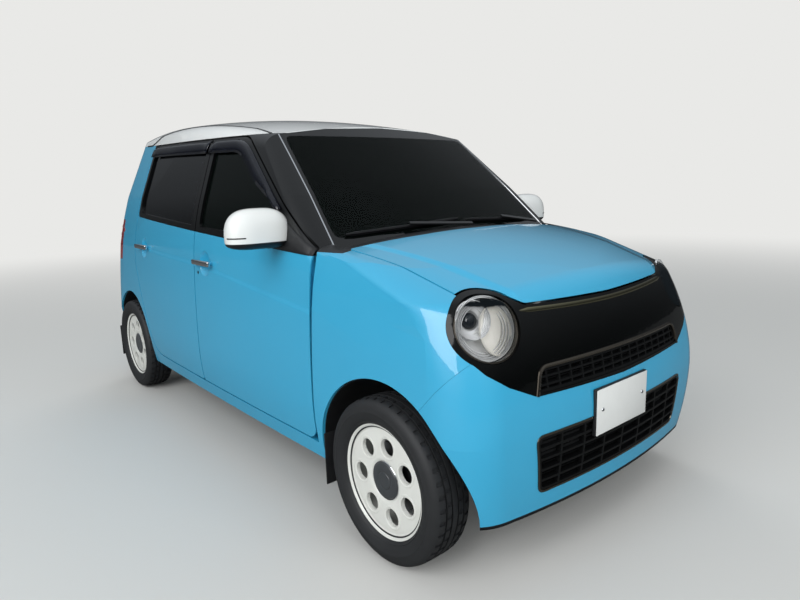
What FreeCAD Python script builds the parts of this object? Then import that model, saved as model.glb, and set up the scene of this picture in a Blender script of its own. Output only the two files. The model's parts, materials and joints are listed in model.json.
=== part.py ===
"""Compact five-door kei car with a two-tone body, round lamps and a black front mask.

Frame: +X forward, +Y to the car's left, +Z up, origin on the ground under the middle.
All sizes are millimetres.
"""
import FreeCAD, Part
import math
import os
from FreeCAD import Vector

os.makedirs("parts", exist_ok=True)

# Overall size
LENGTH = 3395.0
WIDTH = 1475.0
HEIGHT = 1610.0
WHEELBASE = 2520.0
TRACK = 1305.0

# Wheels and tyres
TYRE_RADIUS = 278.5
TYRE_WIDTH = 155.0
RIM_SEAT_RADIUS = 178.0
RIM_FLANGE_RADIUS = 194.0
RIM_WIDTH = 118.0
RIM_WALL = 6.0
WHEEL_HOLES = 7
WHEEL_HOLE_CIRCLE = 121.0
WHEEL_HOLE_LENGTH = 50.0
WHEEL_HOLE_WIDTH = 34.0
WHEEL_HOLE_START = 132.0
WHEEL_DISH = 24.0
CAP_RADIUS = 55.0
BRAKE_DISC_RADIUS = 118.0
BRAKE_DISC_THICK = 14.0
BRAKE_DISC_Y = -646.0

# Wheel arches
ARCH_RADIUS = 340.0
ARCH_HEIGHT = 282.0
LINER_WALL = 3.0
LINER_INNER_Y = 432.0

# Panels
SHUT_GAP = 7.0
SEAM = 0.7
SKIN = 5.0
DOOR_THICK = 92.0
DOOR_FRAME_THICK = 44.0
DOOR_RETURN = 24.0
DOOR_FRAME_RETURN = 13.0
FRAME_LAYER = 12.0
GLASS_THICK = 4.0
BONNET_THICK = 18.0
COWL_DEPTH = 20.0
COWL_THICK = 8.0
MASK_THICK = 28.0
WING_THICK = 4.0

# Heights and stations along the car
SILL_BOTTOM = 236.0
DOOR_BOTTOM = 305.0
DOOR_FRONT = 884.0
DOOR_SPLIT = -140.5
DOOR_REAR = -1135.0
BELT_RISE = -0.049
BELT_Z = 1041.0
ROOF_LINE_Z = 1465.0
ROOF_LINE_RISE = -0.033
HINGE_BACK = 30.0
HINGE_INSIDE = 14.0
HINGE_CLEAR = 47.0

# Body side in section: heights, setbacks, radii and leans of its arcs from the foot up
HULL_BOTTOM = 190.0
SIDE_WIDEST_Z = 480.0
SIDE_FOOT_SETBACK = 37.0
SIDE_LOWER_RADIUS = 6000.0
SIDE_LOWER_LEAN = 4.0
SIDE_UPPER_RADIUS = 1195.0
SIDE_UPPER_LEAN = 18.7
SIDE_TOP_Z = 1700.0

# Curvature of the side in plan at each pole of its four pieces, in millionths per mm
SIDE_PLAN_CURVE = ((22.0, 23.0, 26.0), (26.0, 30.3, 46.0), (46.0, 57.4, 59.0), (59.0, 60.0, 61.0))

# Roof and bonnet: side view, crown across the car and rounding to the sides
ROOF_PEAK_X = -863.0
ROOF_RADIUS = 6775.0
ROOF_CROWN = 3200.0
ROOF_ROUND = 90.0
ROOF_EDGE_ANGLE = 9.2
BONNET_X = 1000.0
BONNET_Z = 1056.0
BONNET_SLOPE = -0.142
BONNET_RADIUS = 3333.0
BONNET_CROWN = 3800.0
BONNET_ROUND = 72.0
BONNET_EDGE_ANGLE = 8.9
FRONT_LEANS = (4.0, 3.15, 2.3)

# Ends in side view: (height, setback) of each knot, the last one above the upper rounding
NOSE_FOOT_SETBACK = 45.0
NOSE_KNOTS = ((480.0, 0.0), (880.0, 91.0), (934.0, 150.0))
NOSE_TOP_SLOPE = 3.27
NOSE_CORNER = 180.0
NOSE_ANGLE = 9.5
NOSE_SIDE_ANGLE = 3.2
TAIL_FOOT_SETBACK = 45.0
TAIL_KNOTS = ((480.0, 0.0), (898.5, 14.0), (1198.0, 58.0), (1534.0, 152.0), (1583.0, 214.0))
TAIL_TOP_SLOPE = 10.9
TAIL_CORNER = 150.0
TAIL_ANGLE = 10.0
TAIL_SIDE_ANGLE = 4.2

# Windscreen: (height, distance ahead of the middle of the car) of its section
SCREEN_POINTS = ((900.0, 1078.0), (1049.0, 917.5), (1198.3, 754.0), (1449.0, 463.5), (1700.0, 170.0))
SCREEN_LEAN = 0.67
SCREEN_CORNER = 85.0
SCREEN_ANGLE = 11.8
SCREEN_SIDE_ANGLE = 2.6

# A corner's arc starts this far outside the side, so that the two cross at a clear angle
STAND_OFF = 1.5
LEAST_ROUND = 8.0

# Headlamps: lens centre and the way it faces
LAMP_X = 1575.0
LAMP_Y = 540.0
LAMP_Z = 815.0
LAMP_RADIUS = 104.0
LAMP_RING = 18.0
LAMP_TOE = 16.0
LAMP_TILT = 17.0
LAMP_DEPTH = 110.0

# Steering geometry of the right wheel, mirrored on the left
BALL_JOINT_Y = 600.0
BALL_JOINT_Z = 160.0
STRUT_TOP_Y = 505.0
STRUT_TOP_Z = 760.0

HALF_LENGTH = LENGTH / 2
HALF_WIDTH = WIDTH / 2
AXLE_X = WHEELBASE / 2
WHEEL_Y = TRACK / 2


def unit(vector):
    """Return the vector at length one."""
    return vector.multiply(1.0 / vector.Length)


def mirrored(shape):
    """Return the shape on the other side of the car."""
    return shape.mirror(Vector(0, 0, 0), Vector(0, 1, 0))


def two_sided(shape):
    """Return a right-hand shape with its mirror image."""
    return [shape, mirrored(shape)]


def box(low, high):
    """Return the block between two corners."""
    size = Vector(*high).sub(Vector(*low))
    return Part.makeBox(size.x, size.y, size.z, Vector(*low))


def rod(start, end, radius):
    """Return a round bar from one point to another."""
    start = Vector(*start)
    along = Vector(*end).sub(start)
    return Part.makeCylinder(radius, along.Length, start, along)


def joined(shapes):
    """Return one solid made of touching or overlapping solids."""
    result = shapes[0]
    if len(shapes) > 1:
        result = result.fuse(shapes[1:])
    return result.removeSplitter()


def rounded_wire(points, place):
    """Return a closed wire through (u, v, corner radius) points; place maps u, v to space."""
    corners = []
    count = len(points)
    for index in range(count):
        u, v, radius = points[index]
        here = Vector(u, v, 0)
        before = unit(Vector(*points[index - 1][:2], 0).sub(here))
        after = unit(Vector(*points[(index + 1) % count][:2], 0).sub(here))
        if radius <= 0:
            corners.append((here, None, here))
            continue
        half = math.acos(max(-1.0, min(1.0, before.dot(after)))) / 2
        reach = radius / math.tan(half)
        middle = unit(before.add(after))
        centre = here.add(middle * (radius / math.sin(half)))
        corners.append((here.add(before * reach), centre.sub(middle * radius), here.add(after * reach)))
    edges = []
    for index in range(count):
        start, middle, end = corners[index]
        if middle is not None:
            edges.append(Part.Arc(place(start), place(middle), place(end)).toShape())
        following = corners[(index + 1) % count][0]
        if end.distanceToPoint(following) > 1e-6:
            edges.append(Part.LineSegment(place(end), place(following)).toShape())
    return Part.Wire(edges)


def grown(points, distance):
    """Return the outline moved outwards by a distance, inwards when it is negative."""
    count = len(points)
    area = 0.0
    for index in range(count):
        u, v = points[index][:2]
        next_u, next_v = points[(index + 1) % count][:2]
        area += u * next_v - next_u * v
    turn = 1.0 if area > 0 else -1.0
    result = []
    for index in range(count):
        u, v, radius = points[index]
        here = Vector(u, v, 0)
        into = unit(here.sub(Vector(*points[index - 1][:2], 0)))
        out = unit(Vector(*points[(index + 1) % count][:2], 0).sub(here))
        normal_in = Vector(into.y, -into.x, 0) * turn
        normal_out = Vector(out.y, -out.x, 0) * turn
        shift = normal_in.add(normal_out) * (distance / (1 + normal_in.dot(normal_out)))
        convex = (into.x * out.y - into.y * out.x) * turn > 0
        new_radius = radius
        if radius > 0:
            new_radius = max(1.0, radius + (distance if convex else -distance))
        result.append((u + shift.x, v + shift.y, new_radius))
    return result


def side_prism(points, inner=-200.0, outer=-1000.0):
    """Return the prism of a side-view outline (x, z, radius) over the right half."""
    wire = rounded_wire(points, lambda p: Vector(p.x, inner, p.y))
    return Part.Face(wire).extrude(Vector(0, outer - inner, 0))


def front_prism(points, start, end):
    """Return the prism of an end-view outline (y, z, radius) between two stations."""
    wire = rounded_wire(points, lambda p: Vector(start, p.x, p.y))
    return Part.Face(wire).extrude(Vector(end - start, 0, 0))


def plan_prism(points, low, high):
    """Return the prism of a plan outline (x, y, radius) between two heights."""
    wire = rounded_wire(points, lambda p: Vector(p.x, p.y, low))
    return Part.Face(wire).extrude(Vector(0, 0, high - low))


def both_sides(points):
    """Return an end-view or plan outline completed by its mirror image in u."""
    return list(points) + [(-u, v, radius) for u, v, radius in reversed(points) if u != 0]


def edges_near(shape, test):
    """Return the edges whose middle point passes the test."""
    found = []
    for edge in shape.Edges:
        middle = edge.valueAt((edge.FirstParameter + edge.LastParameter) / 2)
        if test(middle, edge):
            found.append(edge)
    return found


def patch(grid, column_weight):
    """Return the smooth face of a 3 by 3 grid of poles."""
    weights = [[1.0, column_weight, 1.0]] * 3
    surface = Part.BSplineSurface()
    ends = [0.0, 1.0]
    surface.buildFromPolesMultsKnots(grid, [3, 3], [3, 3], ends, ends, False, False, 2, 2, weights)
    return surface.toShape()


def closed_solid(faces):
    """Return the solid closed by the faces."""
    shell = Part.makeShell(faces)
    shell.sewShape()
    solid = Part.makeSolid(shell)
    if solid.Volume < 0:
        solid.reverse()
    return solid


def flat_cap(faces, test):
    """Return the flat face that closes the edges whose points pass a test."""
    edges = []
    for face in faces:
        for edge in face.Edges:
            middle = edge.valueAt(sum(edge.ParameterRange) / 2)
            if test(middle) and all(test(vertex.Point) for vertex in edge.Vertexes):
                edges.append(edge)
    return Part.Face(Part.Wire(Part.__sortEdges__(edges)))


def arc_poles(centre, radius, start, end):
    """Return the three poles of an arc between two angles and the middle one's weight."""
    half = math.radians(end - start) / 2
    poles = []
    for degrees, reach in ((start, radius), ((start + end) / 2, radius / math.cos(half)), (end, radius)):
        angle = math.radians(degrees)
        poles.append((centre[0] + reach * math.cos(angle), centre[1] + reach * math.sin(angle)))
    return poles, math.cos(half)


def side_arcs(inset, lower_lean=SIDE_LOWER_LEAN):
    """Return the pieces of the body side's section as (poles of (y, z), weight)."""
    drop = SIDE_WIDEST_Z - HULL_BOTTOM
    foot_radius = (drop ** 2 + SIDE_FOOT_SETBACK ** 2) / (2 * SIDE_FOOT_SETBACK)
    foot_angle = -math.degrees(math.asin(drop / foot_radius))
    lean = math.radians(SIDE_LOWER_LEAN)
    reach = SIDE_LOWER_RADIUS - SIDE_UPPER_RADIUS
    foot_centre = (HALF_WIDTH - foot_radius, SIDE_WIDEST_Z)
    lower_centre = (HALF_WIDTH - SIDE_LOWER_RADIUS, SIDE_WIDEST_Z)
    upper_centre = (lower_centre[0] + reach * math.cos(lean), lower_centre[1] + reach * math.sin(lean))
    arcs = [
        arc_poles(foot_centre, foot_radius - inset, foot_angle, 0.0),
        arc_poles(lower_centre, SIDE_LOWER_RADIUS - inset, 0.0, lower_lean),
        arc_poles(upper_centre, SIDE_UPPER_RADIUS - inset, SIDE_LOWER_LEAN, SIDE_UPPER_LEAN),
    ]
    y, z = arcs[-1][0][2]
    slope = math.tan(math.radians(SIDE_UPPER_LEAN))
    line = [(y - slope * (level - z), level) for level in (z, (z + SIDE_TOP_Z) / 2, SIDE_TOP_Z)]
    return arcs + [(line, 1.0)]


def tunnel(ends, tops, leans, inset, round_radius, edge_angle):
    """Return the long body under a crowned top and between the two sides.

    ends are the first and last station, tops the heights of the crown's three poles and leans
    the side's lean at each pole, where its arcs give way to a straight stretch.
    """
    first, last = ends
    stations = ((first, first * first), ((first + last) / 2, first * last), (last, last * last))
    edge_slope = math.tan(math.radians(edge_angle))
    sections = []
    for (x, product), top, lean in zip(stations, tops, leans):
        pieces = 3 if lean > SIDE_LOWER_LEAN else 2
        section = []
        for piece, (poles, weight) in enumerate(side_arcs(inset, min(lean, SIDE_LOWER_LEAN))[:pieces]):
            curves = SIDE_PLAN_CURVE[piece]
            moved = [(y - curve * 1e-6 * product / 2, z) for (y, z), curve in zip(poles, curves)]
            section.append((moved, weight))
        side_y, side_z = section[-1][0][2]
        shoulder, shoulder_weight = arc_poles((0.0, 0.0), max(LEAST_ROUND, round_radius - inset), lean,
                                             90.0 - edge_angle)
        across = shoulder[0][0] - shoulder[2][0]
        rise = shoulder[2][1] - shoulder[0][1]
        slope = math.tan(math.radians(lean))
        # The shoulder meets both the straight stretch and the crown, whose edge lies half its
        # tangents' height below the top
        start_z = top - inset - rise - (side_y + slope * side_z - across) * edge_slope / 2
        start_z = start_z / (1 - slope * edge_slope / 2)
        start_y = side_y - (start_z - side_z) * slope
        middle = ((side_y + start_y) / 2, (side_z + start_z) / 2)
        section.append(([(side_y, side_z), middle, (start_y, start_z)], 1.0))
        moved = [(start_y + y - shoulder[0][0], start_z + z - shoulder[0][1]) for y, z in shoulder]
        section.append((moved, shoulder_weight))
        end_y, end_z = moved[2]
        other_side = [([(-y, z) for y, z in reversed(poles)], weight) for poles, weight in reversed(section)]
        section.append(([(end_y, end_z), (0.0, end_z + end_y * edge_slope), (-end_y, end_z)], 1.0))
        foot_y, foot_z = section[0][0][0]
        section = section + other_side + [([(-foot_y, foot_z), (0.0, foot_z), (foot_y, foot_z)], 1.0)]
        sections.append((x, section))
    faces = []
    for number, (_, weight) in enumerate(sections[0][1]):
        grid = [[Vector(x, y, z) for y, z in section[number][0]] for x, section in sections]
        faces.append(patch(grid, weight))
    for x in ends:
        faces.append(flat_cap(faces, lambda point, x=x: abs(point.x - x) < 1e-6))
    return closed_solid(faces)


def roof_height(x):
    """Return the height of the roof's crown."""
    return HEIGHT - (x - ROOF_PEAK_X) ** 2 / (2 * ROOF_RADIUS)


def bonnet_height(x):
    """Return the height of the bonnet's crown."""
    return BONNET_Z + BONNET_SLOPE * (x - BONNET_X) - (x - BONNET_X) ** 2 / (2 * BONNET_RADIUS)


def pole_heights(ends, height):
    """Return the heights of a parabola's three poles between two stations."""
    first, last = ends
    middle = 2 * height((first + last) / 2) - (height(first) + height(last)) / 2
    return height(first), middle, height(last)


def wrapped(groups, sign, corner, angle, side_angle, crown):
    """Return the block behind an end of the body, with rounded corners in plan.

    groups are the pieces of the side view, each of three poles (height, foremost x, side y,
    curvature of the side in plan, share of the crown's fall).
    """
    far = LENGTH
    turn = math.radians(angle)
    side_turn = math.radians(side_angle)
    half = (math.pi / 2 - side_turn - turn) / 2
    weights = (1.0, math.cos(half), math.cos(turn), math.cos(half), 1.0)
    faces = []
    rows = []
    for group in groups:
        row = []
        for z, front_x, side_y, curve, share in group:
            end_x = front_x - corner
            for _ in range(3):
                end_y = side_y + STAND_OFF - curve * 1e-6 * end_x * end_x / 2
                centre_y = end_y - corner * math.cos(side_turn)
                start_y = centre_y + corner * math.sin(turn)
                start_x = front_x - start_y * math.tan(turn / 2)
                centre_x = start_x - corner * math.cos(turn)
                end_x = centre_x + corner * math.sin(side_turn)
            reach = corner / math.cos(half)
            pole_x = centre_x + reach * math.cos(half + turn)
            pole_y = centre_y + reach * math.sin(half + turn)
            far_y = end_y + (end_x + far) * math.tan(side_turn)
            fall = share * start_y ** 2 / (2 * crown)
            steep = share * start_y / crown
            side_z = z - fall - steep * (end_y - start_y)
            right = [
                (-far, far_y, side_z),
                ((end_x - far) / 2, (end_y + far_y) / 2, side_z),
                (end_x, end_y, side_z),
                (pole_x, pole_y, z - fall - steep * (pole_y - start_y)),
                (start_x, start_y, z - fall),
            ]
            peak = (start_x + start_y * math.tan(turn), 0.0, z + fall)
            ring = right + [peak] + [(x, -y, height) for x, y, height in reversed(right)]
            row.append([Vector(sign * x, y, height) for x, y, height in ring])
        rows.append(row)
        for number, weight in enumerate(weights):
            faces.append(patch([ring[2 * number:2 * number + 3] for ring in row], weight))
        back = []
        for index in (0, -1):
            curve = Part.BezierCurve()
            curve.setPoles([ring[index] for ring in row])
            back.append(curve.toShape())
        faces.append(Part.makeRuledSurface(*back))
    for z in (rows[0][0][0].z, rows[-1][2][0].z):
        faces.append(flat_cap(faces, lambda point, z=z: abs(point.z - z) < 1e-5))
    return closed_solid(faces)


def blended(values, share):
    """Return the value of a quadratic piece at a share of its length."""
    first, middle, last = values
    return first * (1 - share) ** 2 + 2 * middle * share * (1 - share) + last * share ** 2


def side_at(z, inset):
    """Return the side's y and its curvature in plan at a height."""
    pieces = side_arcs(inset)
    number = 0
    while number < len(pieces) - 1 and z > pieces[number][0][2][1]:
        number += 1
    poles = pieces[number][0]
    share = (z - poles[0][1]) / (poles[2][1] - poles[0][1])
    return blended([y for y, _ in poles], share), blended(SIDE_PLAN_CURVE[number], share)


def end_block(sign, inset, foot_setback, knots, top_slope, reach_z, crown, corner, angle, side_angle):
    """Return all that lies behind the nose (sign 1) or ahead of the tail (sign -1).

    The side view runs from the foot through the knots, each piece tangent to the one before.
    The last knot ends the upper rounding, and a straight stretch goes on from it.
    """
    foot_z = HULL_BOTTOM - 60.0
    first = knots[0]
    pieces = [([(foot_z, foot_setback), ((foot_z + first[0]) / 2, 0.0), first], (0.0, 0.0, 0.0))]
    slope = 0.0
    for low, high in zip(knots[:-2], knots[1:-1]):
        middle_z = (low[0] + high[0]) / 2
        middle = (middle_z, low[1] + slope * (middle_z - low[0]))
        slope = (high[1] - middle[1]) / (high[0] - middle_z)
        shares = (0.0, 0.5, 1.0) if high is knots[-2] else (0.0, 0.0, 0.0)
        pieces.append(([low, middle, high], shares))
    low, high = knots[-2:]
    middle_z = (high[1] - top_slope * high[0] - low[1] + slope * low[0]) / (slope - top_slope)
    pieces.append(([low, (middle_z, low[1] + slope * (middle_z - low[0])), high], (1.0, 1.0, 1.0)))
    top = (reach_z, high[1] + top_slope * (reach_z - high[0]))
    pieces.append(([high, ((high[0] + top[0]) / 2, (high[1] + top[1]) / 2), top], (1.0, 0.5, 0.0)))
    groups = []
    for points, shares in pieces:
        group = []
        for (z, setback), share in zip(points, shares):
            lowered = z - inset if z > low[0] else z
            group.append((lowered, HALF_LENGTH - setback - inset, *side_at(z, inset), share))
        groups.append(group)
    return wrapped(groups, sign, corner - inset, angle, side_angle, crown)


def screen_block(inset):
    """Return all that lies behind the windscreen, above the scuttle."""
    poles = []
    for z, x in SCREEN_POINTS:
        poles.append((z, x - inset / SCREEN_LEAN, *side_at(z, inset), 0.0))
    corner = SCREEN_CORNER - 0.8 * inset
    return wrapped([poles[:3], poles[2:]], 1.0, corner, SCREEN_ANGLE, SCREEN_SIDE_ANGLE, 1.0)


CABIN_ENDS = (-1800.0, 1100.0)
CABIN_FRONT = 1050.0
FRONT_ENDS = (780.0, 1780.0)
FRONT_HULL_REAR = 790.0


def cabin_hull(inset):
    """Return the rounded outside of the cabin, set in by a distance."""
    tops = pole_heights(CABIN_ENDS, roof_height)
    body = tunnel(CABIN_ENDS, tops, (SIDE_UPPER_LEAN,) * 3, inset, ROOF_ROUND, ROOF_EDGE_ANGLE)
    body = body.common(end_block(-1.0, inset, TAIL_FOOT_SETBACK, TAIL_KNOTS, TAIL_TOP_SLOPE, 1680.0,
                                 ROOF_CROWN, TAIL_CORNER, TAIL_ANGLE, TAIL_SIDE_ANGLE))
    scuttle = SCREEN_POINTS[0][0]
    below = body.common(box((-1900, -900, HULL_BOTTOM), (CABIN_FRONT - inset, 900, scuttle)))
    return body.common(screen_block(inset)).fuse(below).Solids[0]


def front_hull(inset):
    """Return the rounded outside of the bonnet and wings, set in by a distance."""
    tops = pole_heights(FRONT_ENDS, bonnet_height)
    body = tunnel(FRONT_ENDS, tops, FRONT_LEANS, inset, BONNET_ROUND, BONNET_EDGE_ANGLE)
    body = body.common(end_block(1.0, inset, NOSE_FOOT_SETBACK, NOSE_KNOTS, NOSE_TOP_SLOPE, 1300.0,
                                 BONNET_CROWN, NOSE_CORNER, NOSE_ANGLE, NOSE_SIDE_ANGLE))
    return body.common(box((FRONT_HULL_REAR, -900, HULL_BOTTOM), (1900, 900, 1400))).Solids[0]


HULL_LAYERS = (0.0, SKIN, FRAME_LAYER, FRAME_LAYER + GLASS_THICK, DOOR_FRAME_THICK, DOOR_THICK)
FRONT_LAYERS = (0.0, WING_THICK, FRAME_LAYER, BONNET_THICK, COWL_DEPTH, MASK_THICK)
cabin = {inset: cabin_hull(inset) for inset in HULL_LAYERS}
front = {inset: front_hull(inset) for inset in FRONT_LAYERS}
NODES = {}


def cabin_shell(outer, inner):
    """Return the layer of the cabin between two insets."""
    return cabin[outer].cut(cabin[inner])


def front_shell(outer, inner):
    """Return the layer of the front body between two insets."""
    return front[outer].cut(front[inner])


def largest(shape):
    """Return the largest solid of a shape."""
    return max(shape.Solids, key=lambda solid: solid.Volume)


def add(name, *solids):
    """Store the solids of one sub-part."""
    pieces = []
    for shape in solids:
        pieces.extend(shape.Solids)
    NODES[name] = pieces[0] if len(pieces) == 1 else Part.makeCompound(pieces)


def add_pair(stem, *solids):
    """Store a right-hand sub-part and its left-hand mirror image."""
    add(stem + "_right", *solids)
    add(stem + "_left", *[mirrored(shape) for shape in solids])


def belt(x):
    """Return the height of the belt line."""
    return BELT_Z + BELT_RISE * x


def roof_line(x):
    """Return the height of the line between door frames and roof."""
    return ROOF_LINE_Z + ROOF_LINE_RISE * x


# Side-view outlines: (x, z, corner radius)
PILLAR_FOOT = (872.0, 1008.0)
PILLAR_TOP_X = 235.0
FRONT_DOOR = (
    (DOOR_FRONT, DOOR_BOTTOM, 55.0),
    (PILLAR_FOOT[0], PILLAR_FOOT[1], 14.0),
    (PILLAR_TOP_X, roof_line(PILLAR_TOP_X) - SHUT_GAP, 200.0),
    (DOOR_SPLIT + SHUT_GAP / 2, roof_line(DOOR_SPLIT) - SHUT_GAP, 4.0),
    (DOOR_SPLIT + SHUT_GAP / 2, DOOR_BOTTOM, 14.0),
)
REAR_DOOR = (
    (DOOR_SPLIT - SHUT_GAP / 2, DOOR_BOTTOM, 14.0),
    (DOOR_SPLIT - SHUT_GAP / 2, roof_line(DOOR_SPLIT) - SHUT_GAP, 4.0),
    (DOOR_REAR, roof_line(DOOR_REAR) - SHUT_GAP, 75.0),
    (DOOR_REAR, 830.0, 260.0),
    (-850.0, DOOR_BOTTOM, 140.0),
)
BOTH_DOORS = (
    (DOOR_FRONT, DOOR_BOTTOM, 55.0),
    (PILLAR_FOOT[0], PILLAR_FOOT[1], 14.0),
    (PILLAR_TOP_X, roof_line(PILLAR_TOP_X) - SHUT_GAP, 200.0),
    (DOOR_REAR, roof_line(DOOR_REAR) - SHUT_GAP, 75.0),
    (DOOR_REAR, 830.0, 260.0),
    (-850.0, DOOR_BOTTOM, 140.0),
)
SAIL_X = 625.0
WINDOW_RAIL = 42.0
FRONT_WINDOW = (
    (SAIL_X, belt(SAIL_X) + 26.0, 8.0),
    (SAIL_X, 1132.0, 8.0),
    (212.0, roof_line(212.0) - SHUT_GAP - WINDOW_RAIL, 150.0),
    (-96.0, roof_line(-96.0) - SHUT_GAP - WINDOW_RAIL, 16.0),
    (-96.0, belt(-96.0) + 14.0, 16.0),
)
REAR_WINDOW = (
    (-188.0, belt(-188.0) + 14.0, 16.0),
    (-188.0, roof_line(-188.0) - SHUT_GAP - WINDOW_RAIL, 16.0),
    (-1088.0, roof_line(-1088.0) - SHUT_GAP - WINDOW_RAIL, 45.0),
    (-1088.0, belt(-1088.0) + 14.0, 45.0),
)
BELOW_BELT = (
    (1900.0, belt(1900.0), 0.0),
    (-1900.0, belt(-1900.0), 0.0),
    (-1900.0, 0.0, 0.0),
    (1900.0, 0.0, 0.0),
)
ABOVE_ROOF_LINE = (
    (1200.0, roof_line(1200.0), 0.0),
    (-1900.0, roof_line(-1900.0), 0.0),
    (-1900.0, 1700.0, 0.0),
    (1200.0, 1700.0, 0.0),
)

# End-view outlines: (y, z, corner radius), completed by mirroring
SCREEN_OPENING = ((0.0, 1486.0, 0.0), (300.0, 1475.0, 0.0), (534.0, 1446.0, 40.0), (616.0, 1000.0, 12.0))
TAILGATE_OPENING = (
    (0.0, 1700.0, 0.0),
    (440.0, 1700.0, 0.0),
    (445.0, 1500.0, 60.0),
    (556.0, 1060.0, 120.0),
    (548.0, 760.0, 60.0),
    (510.0, 598.0, 50.0),
)
REAR_GLASS = (
    (0.0, 1490.0, 0.0),
    (330.0, 1478.0, 60.0),
    (455.0, 1140.0, 60.0),
    (0.0, 1128.0, 0.0),
)
TAIL_LAMP = ((560.0, 800.0, 26.0), (568.0, 1062.0, 26.0), (690.0, 1056.0, 26.0), (700.0, 806.0, 26.0))
MASK_BAND = (
    (0.0, 852.0, 0.0),
    (395.0, 860.0, 50.0),
    (472.0, 903.0, 0.0),
    (LAMP_Y, LAMP_Z, 0.0),
    (626.0, 732.0, 0.0),
    (592.0, 690.0, 40.0),
    (530.0, 647.0, 60.0),
    (430.0, 600.0, 60.0),
    (0.0, 588.0, 0.0),
)
UPPER_GRILLE = ((0.0, 676.0, 0.0), (398.0, 676.0, 18.0), (424.0, 606.0, 14.0), (0.0, 600.0, 0.0))
LOWER_GRILLE = ((438.0, 474.0, 26.0), (412.0, 290.0, 22.0))

# Tailgate hinge, under the rear edge of the roof
GATE_HINGE_X = -1440.0
GATE_HINGE_Z = 1552.0
GATE_EDGE_RADIUS = 74.0


def lamp_axis():
    """Return the way the right headlamp faces."""
    toe = math.radians(LAMP_TOE)
    tilt = math.radians(LAMP_TILT)
    return Vector(math.cos(tilt) * math.cos(toe), -math.cos(tilt) * math.sin(toe), math.sin(tilt))


def lamp_cylinder(radius, behind, ahead):
    """Return a cylinder about the right lamp's axis."""
    axis = lamp_axis()
    centre = Vector(LAMP_X, -LAMP_Y, LAMP_Z)
    return Part.makeCylinder(radius, behind + ahead, centre.sub(axis * behind), axis)


def mask_cutter(growth):
    """Return the black mask's outline as a solid, grown by a gap."""
    band = front_prism(grown(both_sides(MASK_BAND), growth), 1450.0, 1800.0)
    ring = lamp_cylinder(LAMP_RADIUS + LAMP_RING + growth, 260.0, 160.0)
    return band.fuse([ring, mirrored(ring)])


def gate_hinge_cylinder(radius):
    """Return a cylinder about the tailgate's hinge axis."""
    return Part.makeCylinder(radius, 2000.0, Vector(GATE_HINGE_X, -1000.0, GATE_HINGE_Z), Vector(0, 1, 0))


def arch_cylinder(centre_x, radius, inner_y=0.0):
    """Return the round space of a right wheel arch."""
    middle = Vector(centre_x, -inner_y, ARCH_HEIGHT)
    return Part.makeCylinder(radius, 1000.0 - inner_y, middle, Vector(0, -1, 0))


# Doors
HINGE_Y = -(HALF_WIDTH - 9.0 - HINGE_INSIDE)
FRONT_HINGE_X = DOOR_FRONT - HINGE_BACK
REAR_HINGE_X = DOOR_SPLIT - SHUT_GAP / 2 - HINGE_BACK
layer_skin = cabin_shell(0.0, SKIN)
layer_frame = cabin_shell(0.0, DOOR_FRAME_THICK)
layer_door = cabin_shell(0.0, DOOR_THICK)
layer_glass = cabin_shell(FRAME_LAYER, FRAME_LAYER + GLASS_THICK)
below_belt = side_prism(BELOW_BELT)
DOOR_INSIDE_Y = 618.0


def hinge_post(x, radius, low=DOOR_BOTTOM - SHUT_GAP, high=1120.0):
    """Return a vertical cylinder about a door's hinge axis."""
    return Part.makeCylinder(radius, high - low, Vector(x, HINGE_Y, low))


HANDLES = (
    # middle x, middle z, half length
    (-12.0, 898.0, 92.0),
    (-940.0, 918.0, 92.0),
)


def handle(x, z, half_length):
    """Return a bar handle and the cup cut behind it."""
    skin_y = -(HALF_WIDTH - 14.0 - x * x / 40000.0)
    bar = box((x - half_length, skin_y - 26.0, z - 11.0), (x + half_length, skin_y - 12.0, z + 11.0))
    bar = bar.makeFillet(6.0, bar.Edges)
    feet = []
    for foot_x in (x - half_length + 16.0, x + half_length - 16.0):
        feet.append(rod((foot_x, skin_y - 19.0, z), (foot_x, skin_y + 24.0, z), 9.0))
    cup = Part.makeSphere(86.0, Vector(x, skin_y - 62.0, z))
    return bar.fuse(feet), cup


def door(outline, window, handle_row):
    """Return a door and its glass with the wind visor."""
    opening = side_prism(window)
    inner_low = side_prism(grown(outline, -DOOR_RETURN)).common(below_belt)
    shell = joined([
        layer_skin.common(side_prism(outline)),
        layer_frame.common(side_prism(grown(outline, -DOOR_FRAME_RETURN))),
        layer_door.common(inner_low).common(box((-1900, -900, 0), (1900, -DOOR_INSIDE_Y, 1200))),
    ]).cut(opening)
    bar, cup = handle(*handle_row)
    shell = shell.cut(cup).fuse(bar)
    pane = layer_glass.common(opening)
    return largest(shell), largest(pane)


DOORS = (
    ("front", FRONT_DOOR, FRONT_WINDOW, HANDLES[0], FRONT_HINGE_X),
    ("rear", REAR_DOOR, REAR_WINDOW, HANDLES[1], REAR_HINGE_X),
)
for name, outline, window, handle_row, hinge_x in DOORS:
    shell, pane = door(outline, window, handle_row)
    add_pair("door_" + name, shell)
    add_pair("glass_" + name, pane)

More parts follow.
